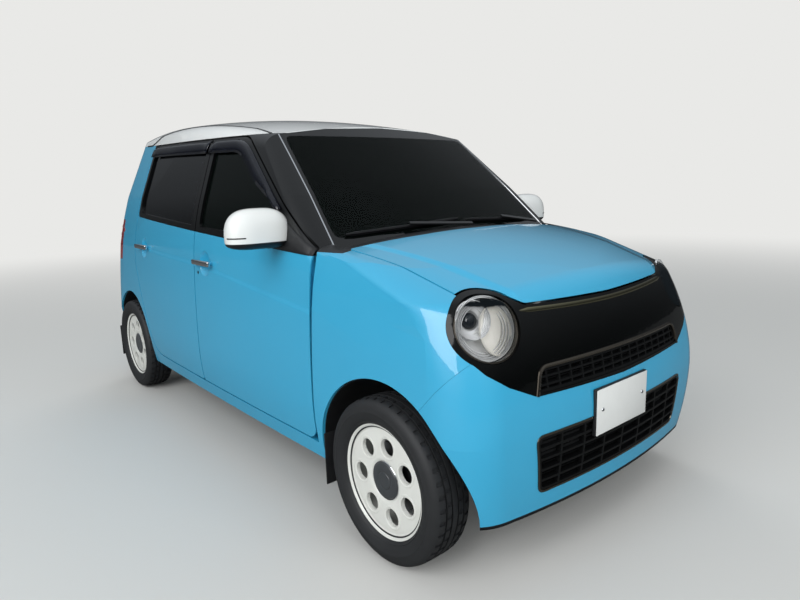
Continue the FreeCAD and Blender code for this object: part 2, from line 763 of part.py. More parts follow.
# Side frames: sill, pillars, roof rail and rear quarter
side = layer_door.common(box((-1900, -900, SILL_BOTTOM), (930.0, -380.0, 1700.0)))
upper_void = cabin[DOOR_FRAME_THICK].cut(below_belt)
side = side.cut(upper_void)
side = side.cut(side_prism(grown(BOTH_DOORS, SHUT_GAP)).cut(cabin[FRAME_LAYER]))
for name, outline, window, handle_row, hinge_x in DOORS:
    side = side.cut(side_prism(grown(outline, SHUT_GAP - DOOR_FRAME_RETURN)))
    side = side.cut(hinge_post(hinge_x, HINGE_CLEAR))
side = side.cut(side_prism(ABOVE_ROOF_LINE))
side = side.cut(front_prism(both_sides(SCREEN_OPENING), 100.0, 1300.0))
side = side.cut(front_prism(grown(both_sides(TAILGATE_OPENING), SHUT_GAP), -1900.0, -1300.0))
lamp_recess = mirrored(front_prism(grown(TAIL_LAMP, SEAM), -1900.0, -1450.0)).cut(cabin[FRAME_LAYER])
side = side.cut(lamp_recess)
for centre_x in (AXLE_X, -AXLE_X):
    side = side.cut(arch_cylinder(centre_x, ARCH_RADIUS, 300.0))
WING_REAR = DOOR_FRONT + SHUT_GAP
wing_zone = box((DOOR_FRONT - 0.5, -900, DOOR_BOTTOM - SHUT_GAP), (1300, -300, 1200)).cut(cabin[FRAME_LAYER])
side = side.cut(wing_zone)
REAR_BUMPER_SIDE = (
    (-1900.0, 590.0, 0.0),
    (-1640.0, 590.0, 40.0),
    (-1500.0, 300.0, 0.0),
    (-1500.0, 100.0, 0.0),
    (-1900.0, 100.0, 0.0),
)
side = side.cut(side_prism(grown(REAR_BUMPER_SIDE, SEAM)))
side = largest(side)
add("side_frames", *two_sided(side))

# Roof
right_of_line = side_prism(grown(ABOVE_ROOF_LINE, -SEAM), 0.0, -1000.0)
roof = layer_frame.common(right_of_line.fuse(mirrored(right_of_line)))
roof = roof.cut(front_prism(grown(both_sides(SCREEN_OPENING), SEAM), 100.0, 1300.0))
behind_hinge = front_prism(grown(both_sides(TAILGATE_OPENING), SHUT_GAP), -1900.0, GATE_HINGE_X)
roof = roof.cut(behind_hinge.cut(gate_hinge_cylinder(GATE_EDGE_RADIUS - SHUT_GAP)))
roof = largest(roof)
add("roof_panel", roof)

# Windscreen
screen = cabin_shell(0.0, SKIN).common(front_prism(both_sides(SCREEN_OPENING), 100.0, 1300.0))
add("windscreen", largest(screen))

# Tailgate
gate_zone = front_prism(both_sides(TAILGATE_OPENING), -1900.0, -1380.0)
rear_glass_prism = front_prism(both_sides(REAR_GLASS), -1900.0, -1300.0)
gate_low = layer_door.common(gate_zone).common(box((-1900, -900, 0), (0, 900, 1080)))
gate = layer_frame.common(gate_zone).fuse(gate_low)
gate = gate.cut(gate_hinge_cylinder(GATE_EDGE_RADIUS)).cut(box((GATE_HINGE_X, -900, 1300), (0, 900, 1700)))
gate = largest(gate.cut(rear_glass_prism))
add("tailgate", gate)
add("glass_tailgate", largest(layer_glass.common(rear_glass_prism)))

# Tail lamps
tail_lamp = cabin_shell(0.0, FRAME_LAYER).common(mirrored(front_prism(TAIL_LAMP, -1900.0, -1450.0)))
add("tail_lamps", largest(tail_lamp), mirrored(largest(tail_lamp)))

# Rear bumper
bumper_side = side_prism(REAR_BUMPER_SIDE, 0.0, -1000.0)
rear_bumper = cabin_shell(0.0, SKIN).common(bumper_side.fuse(mirrored(bumper_side)))
rear_bumper = rear_bumper.cut(box((-1900, -900, 0), (-900, 900, 215)))
rear_bumper = rear_bumper.cut(two_sided(arch_cylinder(-AXLE_X, ARCH_RADIUS)))
rear_bumper = rear_bumper.cut(box((-1600, -640, 0), (-900, 640, 1000)))
add("rear_bumper", largest(rear_bumper))

# Front body panels
mask_tight = mask_cutter(SEAM)
mask_loose = mask_cutter(SHUT_GAP - 1.0)
COWL_HALF_WIDTH = 614.0
SEAM_SLOPE = 1.164
BUMPER_SEAM_X = 1447.0
BUMPER_SEAM_Z = 574.0


def bumper_side_outline(growth):
    """Return the side-view outline of the front bumper's zone."""
    low_x = BUMPER_SEAM_X - 300.0
    high_x = BUMPER_SEAM_X + 400.0
    points = (
        (low_x, BUMPER_SEAM_Z - 300.0 * SEAM_SLOPE, 0.0),
        (high_x, BUMPER_SEAM_Z + 400.0 * SEAM_SLOPE, 0.0),
        (high_x + 100.0, 100.0, 0.0),
        (low_x, 100.0, 0.0),
    )
    return grown(points, growth)


BONNET_PLAN = (
    (1045.0, 0.0, 0.0),
    (1031.0, 300.0, 0.0),
    (990.0, 608.0, 10.0),
    (1480.0, 562.0, 60.0),
    (1800.0, 470.0, 0.0),
    (1800.0, 0.0, 0.0),
)


def bonnet_plan(growth):
    """Return the bonnet's plan outline over both sides."""
    right = [(x, -y, radius) for x, y, radius in BONNET_PLAN if y > 0]
    left = [(x, y, radius) for x, y, radius in reversed(BONNET_PLAN) if y > 0]
    points = [(1045.0, 0.0, 0.0)] + right + left
    return grown(points, growth)


HINGE_ARM_Y = 560.0
BONNET_AXIS_X = 985.0
BONNET_AXIS_Z = 977.0
PIN_RADIUS = 5.0
PIN_FIT = 0.4
HINGE_ARM = (
    (BONNET_AXIS_X - 13.0, BONNET_AXIS_Z - 11.0, 8.0),
    (BONNET_AXIS_X - 13.0, BONNET_AXIS_Z + 11.0, 8.0),
    (1012.0, 991.0, 0.0),
    (1040.0, 1010.0, 0.0),
    (1120.0, 1010.0, 0.0),
    (1120.0, 962.0, 0.0),
)


def bonnet_pin(radius):
    """Return the right hinge pin of the bonnet, across the pocket of its arm."""
    return rod((BONNET_AXIS_X, -590.0, BONNET_AXIS_Z), (BONNET_AXIS_X, -530.0, BONNET_AXIS_Z), radius)


bonnet_zone = plan_prism(bonnet_plan(0.0), 700.0, 1300.0)
bonnet = front_shell(0.0, WING_THICK).common(bonnet_zone)
bonnet_inner = front_shell(0.0, BONNET_THICK).common(plan_prism(bonnet_plan(-26.0), 700.0, 1300.0))
bonnet = joined([bonnet, bonnet_inner]).cut(mask_loose)
bonnet = bonnet.cut(box((900, -900, 0), (1900, 900, 845)))
hinge_arm = side_prism(HINGE_ARM, -HINGE_ARM_Y + 4.0, -HINGE_ARM_Y - 4.0)
hinge_arm = hinge_arm.common(front[WING_THICK]).cut(bonnet_pin(PIN_RADIUS + PIN_FIT))
bonnet = bonnet.fuse(two_sided(hinge_arm))
add("bonnet", largest(bonnet))

bonnet_gap = plan_prism(bonnet_plan(SHUT_GAP - 1.0), 700.0, 1300.0)
wing_box = box((WING_REAR, -900, DOOR_BOTTOM - SHUT_GAP), (1800, -300, 1300))
wing_box = wing_box.cut(box((0, -COWL_HALF_WIDTH, 900), (990, 0, 1300)))
wing_skin = front_shell(0.0, WING_THICK)
arch_lip = front_shell(0.0, BONNET_THICK).common(arch_cylinder(AXLE_X, ARCH_RADIUS + 4.0, 500.0))
wing = wing_skin.fuse(arch_lip).common(wing_box)
wing = wing.cut(bonnet_gap).cut(mask_tight).cut(arch_cylinder(AXLE_X, ARCH_RADIUS, 300.0))
wing = wing.cut(side_prism(bumper_side_outline(SEAM)))
wing = wing.cut([screen_block(0.0).common(box((700, -900, 990), (1300, 900, 1700))), side])
wing = largest(wing)
add("wings", *two_sided(wing))

bumper_zone = side_prism(bumper_side_outline(0.0), 0.0, -1000.0)
front_bumper = front_shell(0.0, WING_THICK).common(bumper_zone.fuse(mirrored(bumper_zone)))
lip_zone = arch_lip.common(bumper_zone)
front_bumper = front_bumper.fuse([lip_zone, mirrored(lip_zone)])
front_bumper = front_bumper.cut(mask_tight)
for cutter in (arch_cylinder(AXLE_X, ARCH_RADIUS, 0.0), mirrored(arch_cylinder(AXLE_X, ARCH_RADIUS, 0.0))):
    front_bumper = front_bumper.cut(cutter)
front_bumper = front_bumper.cut(box((700, -900, 0), (1900, 900, 212)))
front_bumper = front_bumper.cut(front_prism(both_sides(LOWER_GRILLE), 1500.0, 1800.0))
front_bumper = largest(front_bumper)
add("front_bumper", front_bumper)

# Black mask with the lamp openings and the upper grille's slot
mask = front_shell(0.0, MASK_THICK).common(mask_cutter(0.0))
bowl = lamp_cylinder(LAMP_RADIUS + 2.0, 200.0, 200.0)
mask = mask.cut(bowl).cut(mirrored(bowl))
mask = mask.cut(front_prism(both_sides(UPPER_GRILLE), 1500.0, 1800.0))
mask = largest(mask)
add("front_mask", mask)


def grille(outline, bars, depth_outer, depth_inner):
    """Return a grille frame with its bars, following the nose; bars are (y, z, y, z) boxes."""
    shell = front_shell(depth_outer, depth_inner)
    frame = front_prism(outline, 1500.0, 1800.0).cut(front_prism(grown(outline, -9.0), 1500.0, 1800.0))
    solids = [frame]
    inside = front_prism(grown(outline, -4.0), 1500.0, 1800.0)
    for low_y, low_z, high_y, high_z in bars:
        solids.append(box((1500.0, low_y, low_z), (1800.0, high_y, high_z)).common(inside))
    return shell.common(solids[0].fuse(solids[1:]))


upper_bars = [(-430.0, z - 3.0, 430.0, z + 3.0) for z in (627.0, 651.0)]
upper_bars += [(x * 54.0 - 3.0, 590.0, x * 54.0 + 3.0, 680.0) for x in range(-7, 8)]
lower_bars = [(-440.0, z - 4.0, 440.0, z + 4.0) for z in (326.0, 362.0, 398.0, 434.0)]
lower_bars += [(x * 110.0 - 4.0, 280.0, x * 110.0 + 4.0, 480.0) for x in range(-3, 4)]
upper_grille = largest(grille(both_sides(UPPER_GRILLE), upper_bars, WING_THICK, BONNET_THICK))
lower_grille = largest(grille(both_sides(LOWER_GRILLE), lower_bars, 0.0, BONNET_THICK))
add("grilles", upper_grille, lower_grille)

# Headlamps: clear lens, bowl and projector
lens = front_shell(0.0, WING_THICK).common(lamp_cylinder(LAMP_RADIUS, 200.0, 200.0))
lens = largest(lens)
bowl_outside = lamp_cylinder(LAMP_RADIUS, LAMP_DEPTH, 60.0).common(front[WING_THICK])
bowl_inside = lamp_cylinder(LAMP_RADIUS - 5.0, LAMP_DEPTH - 8.0, 80.0)
bowl_piece = largest(bowl_outside.cut(bowl_inside))
add("headlamps", joined([bowl_piece]), mirrored(bowl_piece))
add("headlamp_lenses", lens, mirrored(lens))

# Under body: floor, bulkhead, front frame and axles
SHEET = 5.0
FLOOR_Z = 236.0
BOOT_FLOOR_Z = 420.0
FLOOR_PATH = (
    (958.0, 430.0),
    (872.0, FLOOR_Z),
    (-560.0, FLOOR_Z),
    (-620.0, BOOT_FLOOR_Z),
    (-1606.0, BOOT_FLOOR_Z),
)
REAR_HOUSE_Y = 545.0
PIPE_Y = -180.0
PIPE_Z = 203.0
BULKHEAD_X = 975.0
BULKHEAD_THICK = 15.0
RAIL_Y = (325.0, 385.0)
RAIL_Z = (380.0, 480.0)
TOWER_OUTER = 74.0
TOWER_INNER = 68.0
AXLE_Z = TYRE_RADIUS


def sheet_outline(path, thickness):
    """Return the closed outline of a sheet laid above a side-view path."""
    lower = [(x, z, 0.0) for x, z in path]
    upper = [(x, z + thickness, 0.0) for x, z in reversed(path)]
    return lower + upper


# Floor, wheel houses and the panel behind the rear bumper
front_house = arch_cylinder(AXLE_X, ARCH_RADIUS, LINER_INNER_Y)
rear_house = arch_cylinder(-AXLE_X, ARCH_RADIUS, REAR_HOUSE_Y)
floor = side_prism(sheet_outline(FLOOR_PATH, SHEET), 900.0, -900.0).common(cabin[DOOR_THICK])
sill_cross = [box((x - 40, -560, FLOOR_Z + SHEET), (x + 40, 560, FLOOR_Z + 70)) for x in (120.0, -330.0)]
rear_panel = cabin[SKIN].cut(cabin[DOOR_THICK]).common(box((-1900, -600, 300), (-1560, 600, 585)))
floor = floor.fuse(sill_cross)
for house in (front_house, rear_house):
    floor = floor.cut(two_sided(house))
rear_panel = largest(rear_panel.cut(two_sided(arch_cylinder(-AXLE_X, ARCH_RADIUS)) + two_sided(side)))
add("floor_pan", largest(floor.fuse(rear_panel)))
tank = box((-540, PIPE_Y + 45, FLOOR_Z - 66), (40, 380, FLOOR_Z))
add("fuel_tank", tank.makeFillet(20.0, edges_near(tank, lambda m, e: m.z < FLOOR_Z - 5)))

# Bulkhead with the cowl and the brackets of the bonnet's hinges
bulkhead = box((BULKHEAD_X, -600, 330), (BULKHEAD_X + BULKHEAD_THICK, 600, 1200)).common(front[MASK_THICK])
for house in two_sided(arch_cylinder(AXLE_X, ARCH_RADIUS + 5.0, 395.0)):
    bulkhead = bulkhead.cut(house)
cowl = front[COWL_DEPTH].cut(front[COWL_DEPTH + COWL_THICK])
cowl = cowl.common(box((850, -COWL_HALF_WIDTH + 4, 940), (1060, COWL_HALF_WIDTH - 4, 1100)))
cowl = cowl.cut(plan_prism(bonnet_plan(6.0), 700.0, 1300.0)).cut(cabin[0.0])
bulkhead = bulkhead.fuse(cowl)
bulkhead = bulkhead.cut(two_sided(box((955, -586, 950), (1060, -534, 1100))))
brackets = []
for low_y, high_y in ((-534.0, -526.0), (-594.0, -586.0)):
    brackets.append(box((968, low_y, 940), (1004, high_y, 990)))
for piece in brackets + [bonnet_pin(PIN_RADIUS)]:
    bulkhead = bulkhead.fuse(two_sided(piece.common(front[COWL_DEPTH])))
add("bulkhead_cowl", largest(bulkhead))

# Wheel arch liners, open to the struts in front and closed inside at the rear
front_liner = arch_cylinder(AXLE_X, ARCH_RADIUS, LINER_INNER_Y)
front_liner = front_liner.cut(arch_cylinder(AXLE_X, ARCH_RADIUS - LINER_WALL))
front_liner = front_liner.common(front[FRAME_LAYER].fuse(cabin[FRAME_LAYER]))
front_liner = front_liner.cut(box((0, -900, 0), (1900, 900, 300)))
front_liner = front_liner.cut(rod((AXLE_X, -520, 400), (AXLE_X, -520, 700), 76.0))
rear_wall = arch_cylinder(-AXLE_X, ARCH_RADIUS, REAR_HOUSE_Y)
rear_wall = rear_wall.cut(arch_cylinder(-AXLE_X, ARCH_RADIUS, REAR_HOUSE_Y + LINER_WALL))
rear_liner = arch_cylinder(-AXLE_X, ARCH_RADIUS, REAR_HOUSE_Y)
rear_liner = rear_liner.cut(arch_cylinder(-AXLE_X, ARCH_RADIUS - LINER_WALL))
rear_liner = rear_liner.fuse(rear_wall).common(cabin[FRAME_LAYER]).cut(box((-1900, -900, 0), (0, 900, 300)))
rear_liner = rear_liner.cut(rod((-AXLE_X, -500, AXLE_Z), (-AXLE_X, -600, AXLE_Z), 95.0))
add("arch_liners", *(two_sided(largest(front_liner)) + two_sided(largest(rear_liner))))

# Front frame: rails, strut towers, cross members and radiator
frame_parts = []
rail = box((BULKHEAD_X + BULKHEAD_THICK, -RAIL_Y[1], RAIL_Z[0]), (1560, -RAIL_Y[0], RAIL_Z[1]))
apron = box((1180, -440, RAIL_Z[1]), (1340, -RAIL_Y[1], 770))
tower = rod((AXLE_X, -STRUT_TOP_Y, 640), (AXLE_X, -STRUT_TOP_Y, 778), TOWER_OUTER)
tower = tower.cut(rod((AXLE_X, -STRUT_TOP_Y, 630), (AXLE_X, -STRUT_TOP_Y, 770), TOWER_INNER))
apron = apron.cut(rod((AXLE_X, -STRUT_TOP_Y, 500), (AXLE_X, -STRUT_TOP_Y, 770), TOWER_INNER))
upper_rail = box((BULKHEAD_X + BULKHEAD_THICK, -600, 770), (1480, -560, 800))
upper_rail = upper_rail.common(front[MASK_THICK])
tower_arm = box((1200, -600, 770), (1320, -STRUT_TOP_Y, 778))
for piece in (rail, apron, tower, upper_rail, tower_arm):
    frame_parts.extend(two_sided(piece))
cross = box((1500, -RAIL_Y[1], 250), (1560, RAIL_Y[1], 300)).fuse(box((1490, -560, 640), (1560, 560, 670)))
posts = [box((1500, side * 360 - 25, 250), (1560, side * 360 + 25, 670)) for side in (-1, 1)]
shelf = box((1500, -300, 690), (1690, 300, 706)).common(front[MASK_THICK])
beam = box((1560, -540, 395), (1690, 540, 465)).common(front[BONNET_THICK])
beam_ends = two_sided(box((1560, -540, 395), (1690, -450, 465)).common(front[WING_THICK]))
lamp_stays = two_sided(box((1490, -550, 640), (1530, -490, 740)))
radiator = box((1505, -335, 300), (1550, 335, 700))
frame_parts += [cross, beam, radiator, shelf] + beam_ends + posts + lamp_stays
front_frame = frame_parts[0].fuse(frame_parts[1:])
front_frame = front_frame.common(front[WING_THICK])
front_frame = front_frame.cut(two_sided(arch_cylinder(AXLE_X, ARCH_RADIUS, LINER_INNER_Y).cut(
    box((1100, -900, 600), (1400, 0, 900)))))
front_frame = front_frame.cut(two_sided(lamp_cylinder(LAMP_RADIUS, LAMP_DEPTH, 60.0)) + [mask])
add("front_frame", largest(front_frame.removeSplitter()))

# Engine block on its mounts between the rails
engine = box((1060, -300, 262), (1460, 300, 720))
engine = engine.makeChamfer(20.0, engine.Edges)
mounts = [box((1180, side * 311 - 14, 400), (1260, side * 311 + 14, 460)) for side in (-1, 1)]
add("engine_block", joined([engine] + mounts))

# Front subframe with the lower arms
arm = plan_prism([(1240.0, -290.0, 0.0), (1285.0, -590.0, 0.0), (1235.0, -590.0, 0.0), (1055.0, -330.0, 20.0),
                  (1055.0, -290.0, 0.0)], 185.0, 207.0)
arm = arm.fuse(rod((AXLE_X, -594, 185), (AXLE_X, -594, 207), 26.0))
subframe = box((1040, -300, 180), (1300, 300, 212))
legs = [box((1050, side * 340 - 20, 205), (1110, side * 340 + 20, RAIL_Z[0])) for side in (-1, 1)]
tunnel_mounts = [box((900, side * 280 - 30, 190), (1060, side * 280 + 30, FLOOR_Z)) for side in (-1, 1)]
subframe = joined([subframe] + two_sided(arm) + legs + tunnel_mounts)
add("front_subframe", subframe)

# Steering knuckles with hubs and struts; they turn about the line of ball joint and strut top
ball_joint = Vector(AXLE_X, -BALL_JOINT_Y, BALL_JOINT_Z)
strut_top = Vector(AXLE_X, -STRUT_TOP_Y, STRUT_TOP_Z)
kingpin = unit(strut_top.sub(ball_joint))


def on_kingpin(z):
    """Return the point of the right kingpin axis at a height."""
    share = (z - BALL_JOINT_Z) / (STRUT_TOP_Z - BALL_JOINT_Z)
    return ball_joint.add(strut_top.sub(ball_joint) * share)


def about_kingpin(low_z, high_z, radius):
    """Return a round bar on the right kingpin axis between two heights."""
    return rod(tuple(on_kingpin(low_z)), tuple(on_kingpin(high_z)), radius)


knuckle = joined([
    about_kingpin(215.0, 330.0, 26.0),
    about_kingpin(330.0, 620.0, 22.0),
    about_kingpin(600.0, 612.0, 56.0),
    about_kingpin(612.0, 745.0, 44.0),
    rod((AXLE_X, -560, AXLE_Z), (AXLE_X, -628, AXLE_Z), 42.0),
    box((AXLE_X + 30, -600, AXLE_Z - 40), (AXLE_X + 100, -572, AXLE_Z + 50)),
    box((AXLE_X - 20, -600, AXLE_Z - 40), (AXLE_X + 40, -572, AXLE_Z + 40)),
])
add_pair("knuckle", knuckle)

# Rear axle: torsion beam, trailing arms, stub axles and springs
rear_parts = [box((-1050, -520, 230), (-980, 520, 300))]
for side in (-1, 1):
    rear_parts.append(box((-1300, side * 505 - 22, 235), (-760, side * 505 + 22, 295)))
    rear_parts.append(rod((-AXLE_X, side * 490, AXLE_Z), (-AXLE_X, side * 628, AXLE_Z), 36.0))
    rear_parts.append(rod((-1120, side * 480, 270), (-1120, side * 480, BOOT_FLOOR_Z), 48.0))
    rear_parts.append(rod((-790, side * 480, 262), (-790, side * 545, 262), 30.0))
rear_axle = rear_parts[0].fuse(rear_parts[1:])
add("rear_axle", largest(rear_axle))

# Exhaust under the floor
muffler = box((-1560, -300, 250), (-1340, 120, 380))
muffler_ends = edges_near(muffler, lambda m, e: abs(m.x + 1450) > 100 and abs(m.y + 90) < 1)
muffler = muffler.makeFillet(40.0, muffler_ends)
pipe = rod((-1450, PIPE_Y, PIPE_Z), (940, PIPE_Y, PIPE_Z), 20.0).fuse([
    rod((-1450, PIPE_Y, PIPE_Z), (-1450, PIPE_Y, 300), 20.0),
    rod((-1530, 60, 266), (-1660, 60, 196), 17.0),
])
exhaust = muffler.fuse(pipe)
hangers = [
    box((-1460, -120, 378), (-1440, -60, BOOT_FLOOR_Z)),
    box((500, PIPE_Y - 20, PIPE_Z + 8), (540, PIPE_Y + 20, FLOOR_Z)),
]
add("exhaust", largest(exhaust.fuse(hangers)))


# Wheels and tyres
def revolved(points, axle_x):
    """Return the ring of a (radius, y) profile about an axle line, from +y to -y."""
    wire = Part.makePolygon([Vector(axle_x, y, AXLE_Z + radius) for radius, y in points + points[:1]])
    return Part.Face(wire).revolve(Vector(axle_x, 0, AXLE_Z), Vector(0, 1, 0), 360)


def wheel(axle_x):
    """Return a right-hand wheel: rim, dished face with its oval holes, cap and brake disc."""
    outer_y = -(WHEEL_Y + RIM_WIDTH / 2)
    inner_y = -(WHEEL_Y - RIM_WIDTH / 2)
    seat = RIM_SEAT_RADIUS
    inside = seat - RIM_WALL
    disc_y = outer_y + WHEEL_DISH
    rim = revolved([
        (RIM_FLANGE_RADIUS, outer_y),
        (RIM_FLANGE_RADIUS, outer_y + 8.0),
        (seat, outer_y + 13.0),
        (seat, inner_y - 8.0),
        (RIM_FLANGE_RADIUS, inner_y - 5.0),
        (RIM_FLANGE_RADIUS, inner_y),
        (inside, inner_y),
        (inside, outer_y + 10.0),
        (RIM_FLANGE_RADIUS - 8.0, outer_y),
    ], axle_x)
    face = revolved([
        (0.0, disc_y + 12.0),
        (CAP_RADIUS + 14.0, disc_y + 12.0),
        (WHEEL_HOLE_CIRCLE - 34.0, disc_y - 10.0),
        (WHEEL_HOLE_CIRCLE + 26.0, disc_y - 10.0),
        (inside + 2.0, disc_y + 4.0),
        (inside + 2.0, disc_y + 11.0),
        (WHEEL_HOLE_CIRCLE + 26.0, disc_y - 3.0),
        (WHEEL_HOLE_CIRCLE - 34.0, disc_y - 3.0),
        (CAP_RADIUS + 14.0, disc_y + 20.0),
        (0.0, disc_y + 20.0),
    ], axle_x)
    holes = []
    half = WHEEL_HOLE_WIDTH / 2
    for number in range(WHEEL_HOLES):
        angle = math.radians(WHEEL_HOLE_START - number * 360.0 / WHEEL_HOLES)
        across = Vector(-math.sin(angle), 0, math.cos(angle))
        middle = Vector(axle_x + WHEEL_HOLE_CIRCLE * math.cos(angle), outer_y - 20.0,
                        AXLE_Z + WHEEL_HOLE_CIRCLE * math.sin(angle))
        reach = (WHEEL_HOLE_LENGTH - WHEEL_HOLE_WIDTH) / 2
        ends = []
        for sign in (-1, 1):
            ends.append(Part.makeCylinder(half, 80.0, middle.add(across * (reach * sign)), Vector(0, 1, 0)))
        bar = box((-half, 0.0, -reach), (half, 80.0, reach))
        bar.rotate(Vector(0, 0, 0), Vector(0, 1, 0), -math.degrees(angle))
        bar.translate(middle)
        holes.append(ends[0].fuse([ends[1], bar]))
    face = face.cut(holes)
    cap = rod((axle_x, disc_y + 14.0, AXLE_Z), (axle_x, disc_y - 14.0, AXLE_Z), CAP_RADIUS)
    hub = rod((axle_x, disc_y + 18.0, AXLE_Z), (axle_x, BRAKE_DISC_Y + BRAKE_DISC_THICK, AXLE_Z), 62.0)
    disc_back = BRAKE_DISC_Y + BRAKE_DISC_THICK
    disc = rod((axle_x, BRAKE_DISC_Y, AXLE_Z), (axle_x, disc_back, AXLE_Z), BRAKE_DISC_RADIUS)
    return joined([rim, face, cap, hub, disc])


def tyre(axle_x):
    """Return a right-hand tyre, seated on its rim."""
    half = TYRE_WIDTH / 2
    bead = RIM_WIDTH / 2 - 13.0
    wall = RIM_FLANGE_RADIUS + 8.0
    shoulder = TYRE_RADIUS - 16.0
    return revolved([
        (RIM_SEAT_RADIUS, -WHEEL_Y - bead),
        (RIM_FLANGE_RADIUS, -WHEEL_Y - bead - 5.0),
        (wall, -WHEEL_Y - half),
        (shoulder, -WHEEL_Y - half),
        (TYRE_RADIUS, -WHEEL_Y - half + 22.0),
        (TYRE_RADIUS, -WHEEL_Y + half - 22.0),
        (shoulder, -WHEEL_Y + half),
        (wall, -WHEEL_Y + half),
        (RIM_FLANGE_RADIUS, -WHEEL_Y + bead + 5.0),
        (RIM_SEAT_RADIUS, -WHEEL_Y + bead),
    ], axle_x)


for end, axle_x in (("front", AXLE_X), ("rear", -AXLE_X)):
    add_pair("wheel_" + end, wheel(axle_x))
    add_pair("tyre_" + end, tyre(axle_x))

# Dashboard and steering wheel
DASH_HALF_WIDTH = 562.0
DASH_OUTLINE = (
    (950.0, 960.0, 0.0),
    (860.0, 985.0, 30.0),
    (640.0, 1008.0, 30.0),
    (560.0, 950.0, 40.0),
    (600.0, 720.0, 30.0),
    (700.0, 600.0, 30.0),
    (950.0, 600.0, 0.0),
)
dashboard = side_prism(DASH_OUTLINE, DASH_HALF_WIDTH, -DASH_HALF_WIDTH).common(cabin[DOOR_THICK])
console = box((560, -90, FLOOR_Z + SHEET), (868, 90, 640))
dashboard = largest(dashboard.fuse(console))
column_tilt_degrees = 25.0
column_tilt = math.radians(column_tilt_degrees)
column_axis = Vector(-math.cos(column_tilt), 0, math.sin(column_tilt))
wheel_centre = Vector(430.0, -330.0, 930.0)
column = rod(tuple(wheel_centre.sub(column_axis * 45.0)), tuple(wheel_centre.sub(column_axis * 260.0)), 32.0)
dashboard = largest(dashboard.fuse(column))
add("dashboard", dashboard)
STEERING_RADIUS = 178.0
ring_section = Part.makePolygon([Vector(STEERING_RADIUS + 15.0 * math.cos(math.radians(step)), 0,
                                         13.0 * math.sin(math.radians(step))) for step in range(0, 361, 60)])
rim_ring = Part.Face(ring_section).revolve(Vector(0, 0, 0), Vector(0, 0, 1), 360)
rim_ring.rotate(Vector(0, 0, 0), Vector(0, 1, 0), column_tilt_degrees - 90.0)
rim_ring.translate(wheel_centre)
hub_boss = Part.makeCylinder(62.0, 42.0, wheel_centre.sub(column_axis * 44.0), column_axis)
spokes = []
side_way = Vector(0, 1, 0)
down_way = column_axis.cross(side_way)
for way in (side_way, side_way * -1, down_way if down_way.z < 0 else down_way * -1):
    start = wheel_centre.sub(column_axis * 18.0)
    spokes.append(rod(tuple(start), tuple(start.add(way * STEERING_RADIUS).add(column_axis * 12.0)), 12.0))
add("steering_wheel", joined([rim_ring, hub_boss] + spokes))


# Seats
def seat(centre_y, width, cushion, back, head):
    """Return a seat of side-view outlines (x, z, radius), as wide as given."""
    solids = []
    for outline, share in ((cushion, 1.0), (back, 0.94), (head, 0.52)):
        if outline:
            half = width * share / 2
            solids.append(side_prism(outline, centre_y + half, centre_y - half))
    return joined(solids)


FRONT_CUSHION = (
    (250.0, FLOOR_Z + SHEET, 0.0),
    (265.0, 555.0, 50.0),
    (-255.0, 520.0, 40.0),
    (-235.0, FLOOR_Z + SHEET, 0.0),
)
FRONT_BACK = ((-170.0, 470.0, 30.0), (-330.0, 1080.0, 45.0), (-425.0, 1080.0, 45.0), (-310.0, 440.0, 30.0))
FRONT_HEAD = ((-335.0, 1060.0, 0.0), (-350.0, 1245.0, 35.0), (-430.0, 1245.0, 35.0), (-420.0, 1060.0, 0.0))
REAR_CUSHION = (
    (-640.0, BOOT_FLOOR_Z + SHEET, 0.0),
    (-560.0, 520.0, 30.0),
    (-560.0, 585.0, 45.0),
    (-1030.0, 560.0, 30.0),
    (-1020.0, BOOT_FLOOR_Z + SHEET, 0.0),
)
REAR_BACK = ((-950.0, 520.0, 20.0), (-1080.0, 1070.0, 40.0), (-1160.0, 1070.0, 40.0), (-1060.0, 520.0, 20.0))
REAR_HEAD = ((-1085.0, 1050.0, 0.0), (-1100.0, 1190.0, 30.0), (-1165.0, 1190.0, 30.0), (-1150.0, 1050.0, 0.0))
front_seat = largest(seat(-320.0, 480.0, FRONT_CUSHION, FRONT_BACK, FRONT_HEAD).cut(floor))
add("front_seats", *two_sided(front_seat))
bench = seat(0.0, 1060.0, REAR_CUSHION, REAR_BACK, ())
heads = [side_prism(REAR_HEAD, y + 110, y - 110) for y in (-300.0, 300.0)]
add("rear_bench", joined([bench] + heads))

# Door mirrors
MIRROR_X = 640.0
MIRROR_STAND = 12.0
MIRROR_OUTLINE = (
    (-640.0, 1020.0, 30.0),
    (-650.0, 1150.0, 45.0),
    (-905.0, 1158.0, 60.0),
    (-905.0, 1012.0, 55.0),
)
housing = front_prism(MIRROR_OUTLINE, MIRROR_X - 32.0, MIRROR_X + 40.0)
housing = housing.makeFillet(26.0, edges_near(housing, lambda m, e: m.x > MIRROR_X + 39.0))
housing = housing.cut(front_prism([(-668.0, 1036.0, 20.0), (-672.0, 1140.0, 30.0), (-890.0, 1146.0, 45.0),
                                   (-890.0, 1026.0, 40.0)], MIRROR_X - 40.0, MIRROR_X - 22.0))
housing = housing.cut(cabin[0.0].translated(Vector(0, -MIRROR_STAND, 0)))
foot = box((MIRROR_X - 5.0, -760.0, 1008.0), (MIRROR_X + 36.0, -600.0, 1044.0)).cut(cabin[0.0])
mirror = largest(joined([housing, foot]))
add_pair("mirror", mirror)

for node, shape in NODES.items():
    shape.exportStep("parts/" + node + ".step")
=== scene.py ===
"""Dress of a small five-door car: paint, glass, lamps, trim, wheels and cabin over its fixed frame.

Metres, +X forward, +Y to the car's left, +Z up. A field whose name ends in _mm is in millimetres.
"""
import json
import logging
import math
from dataclasses import dataclass, replace
from enum import Enum

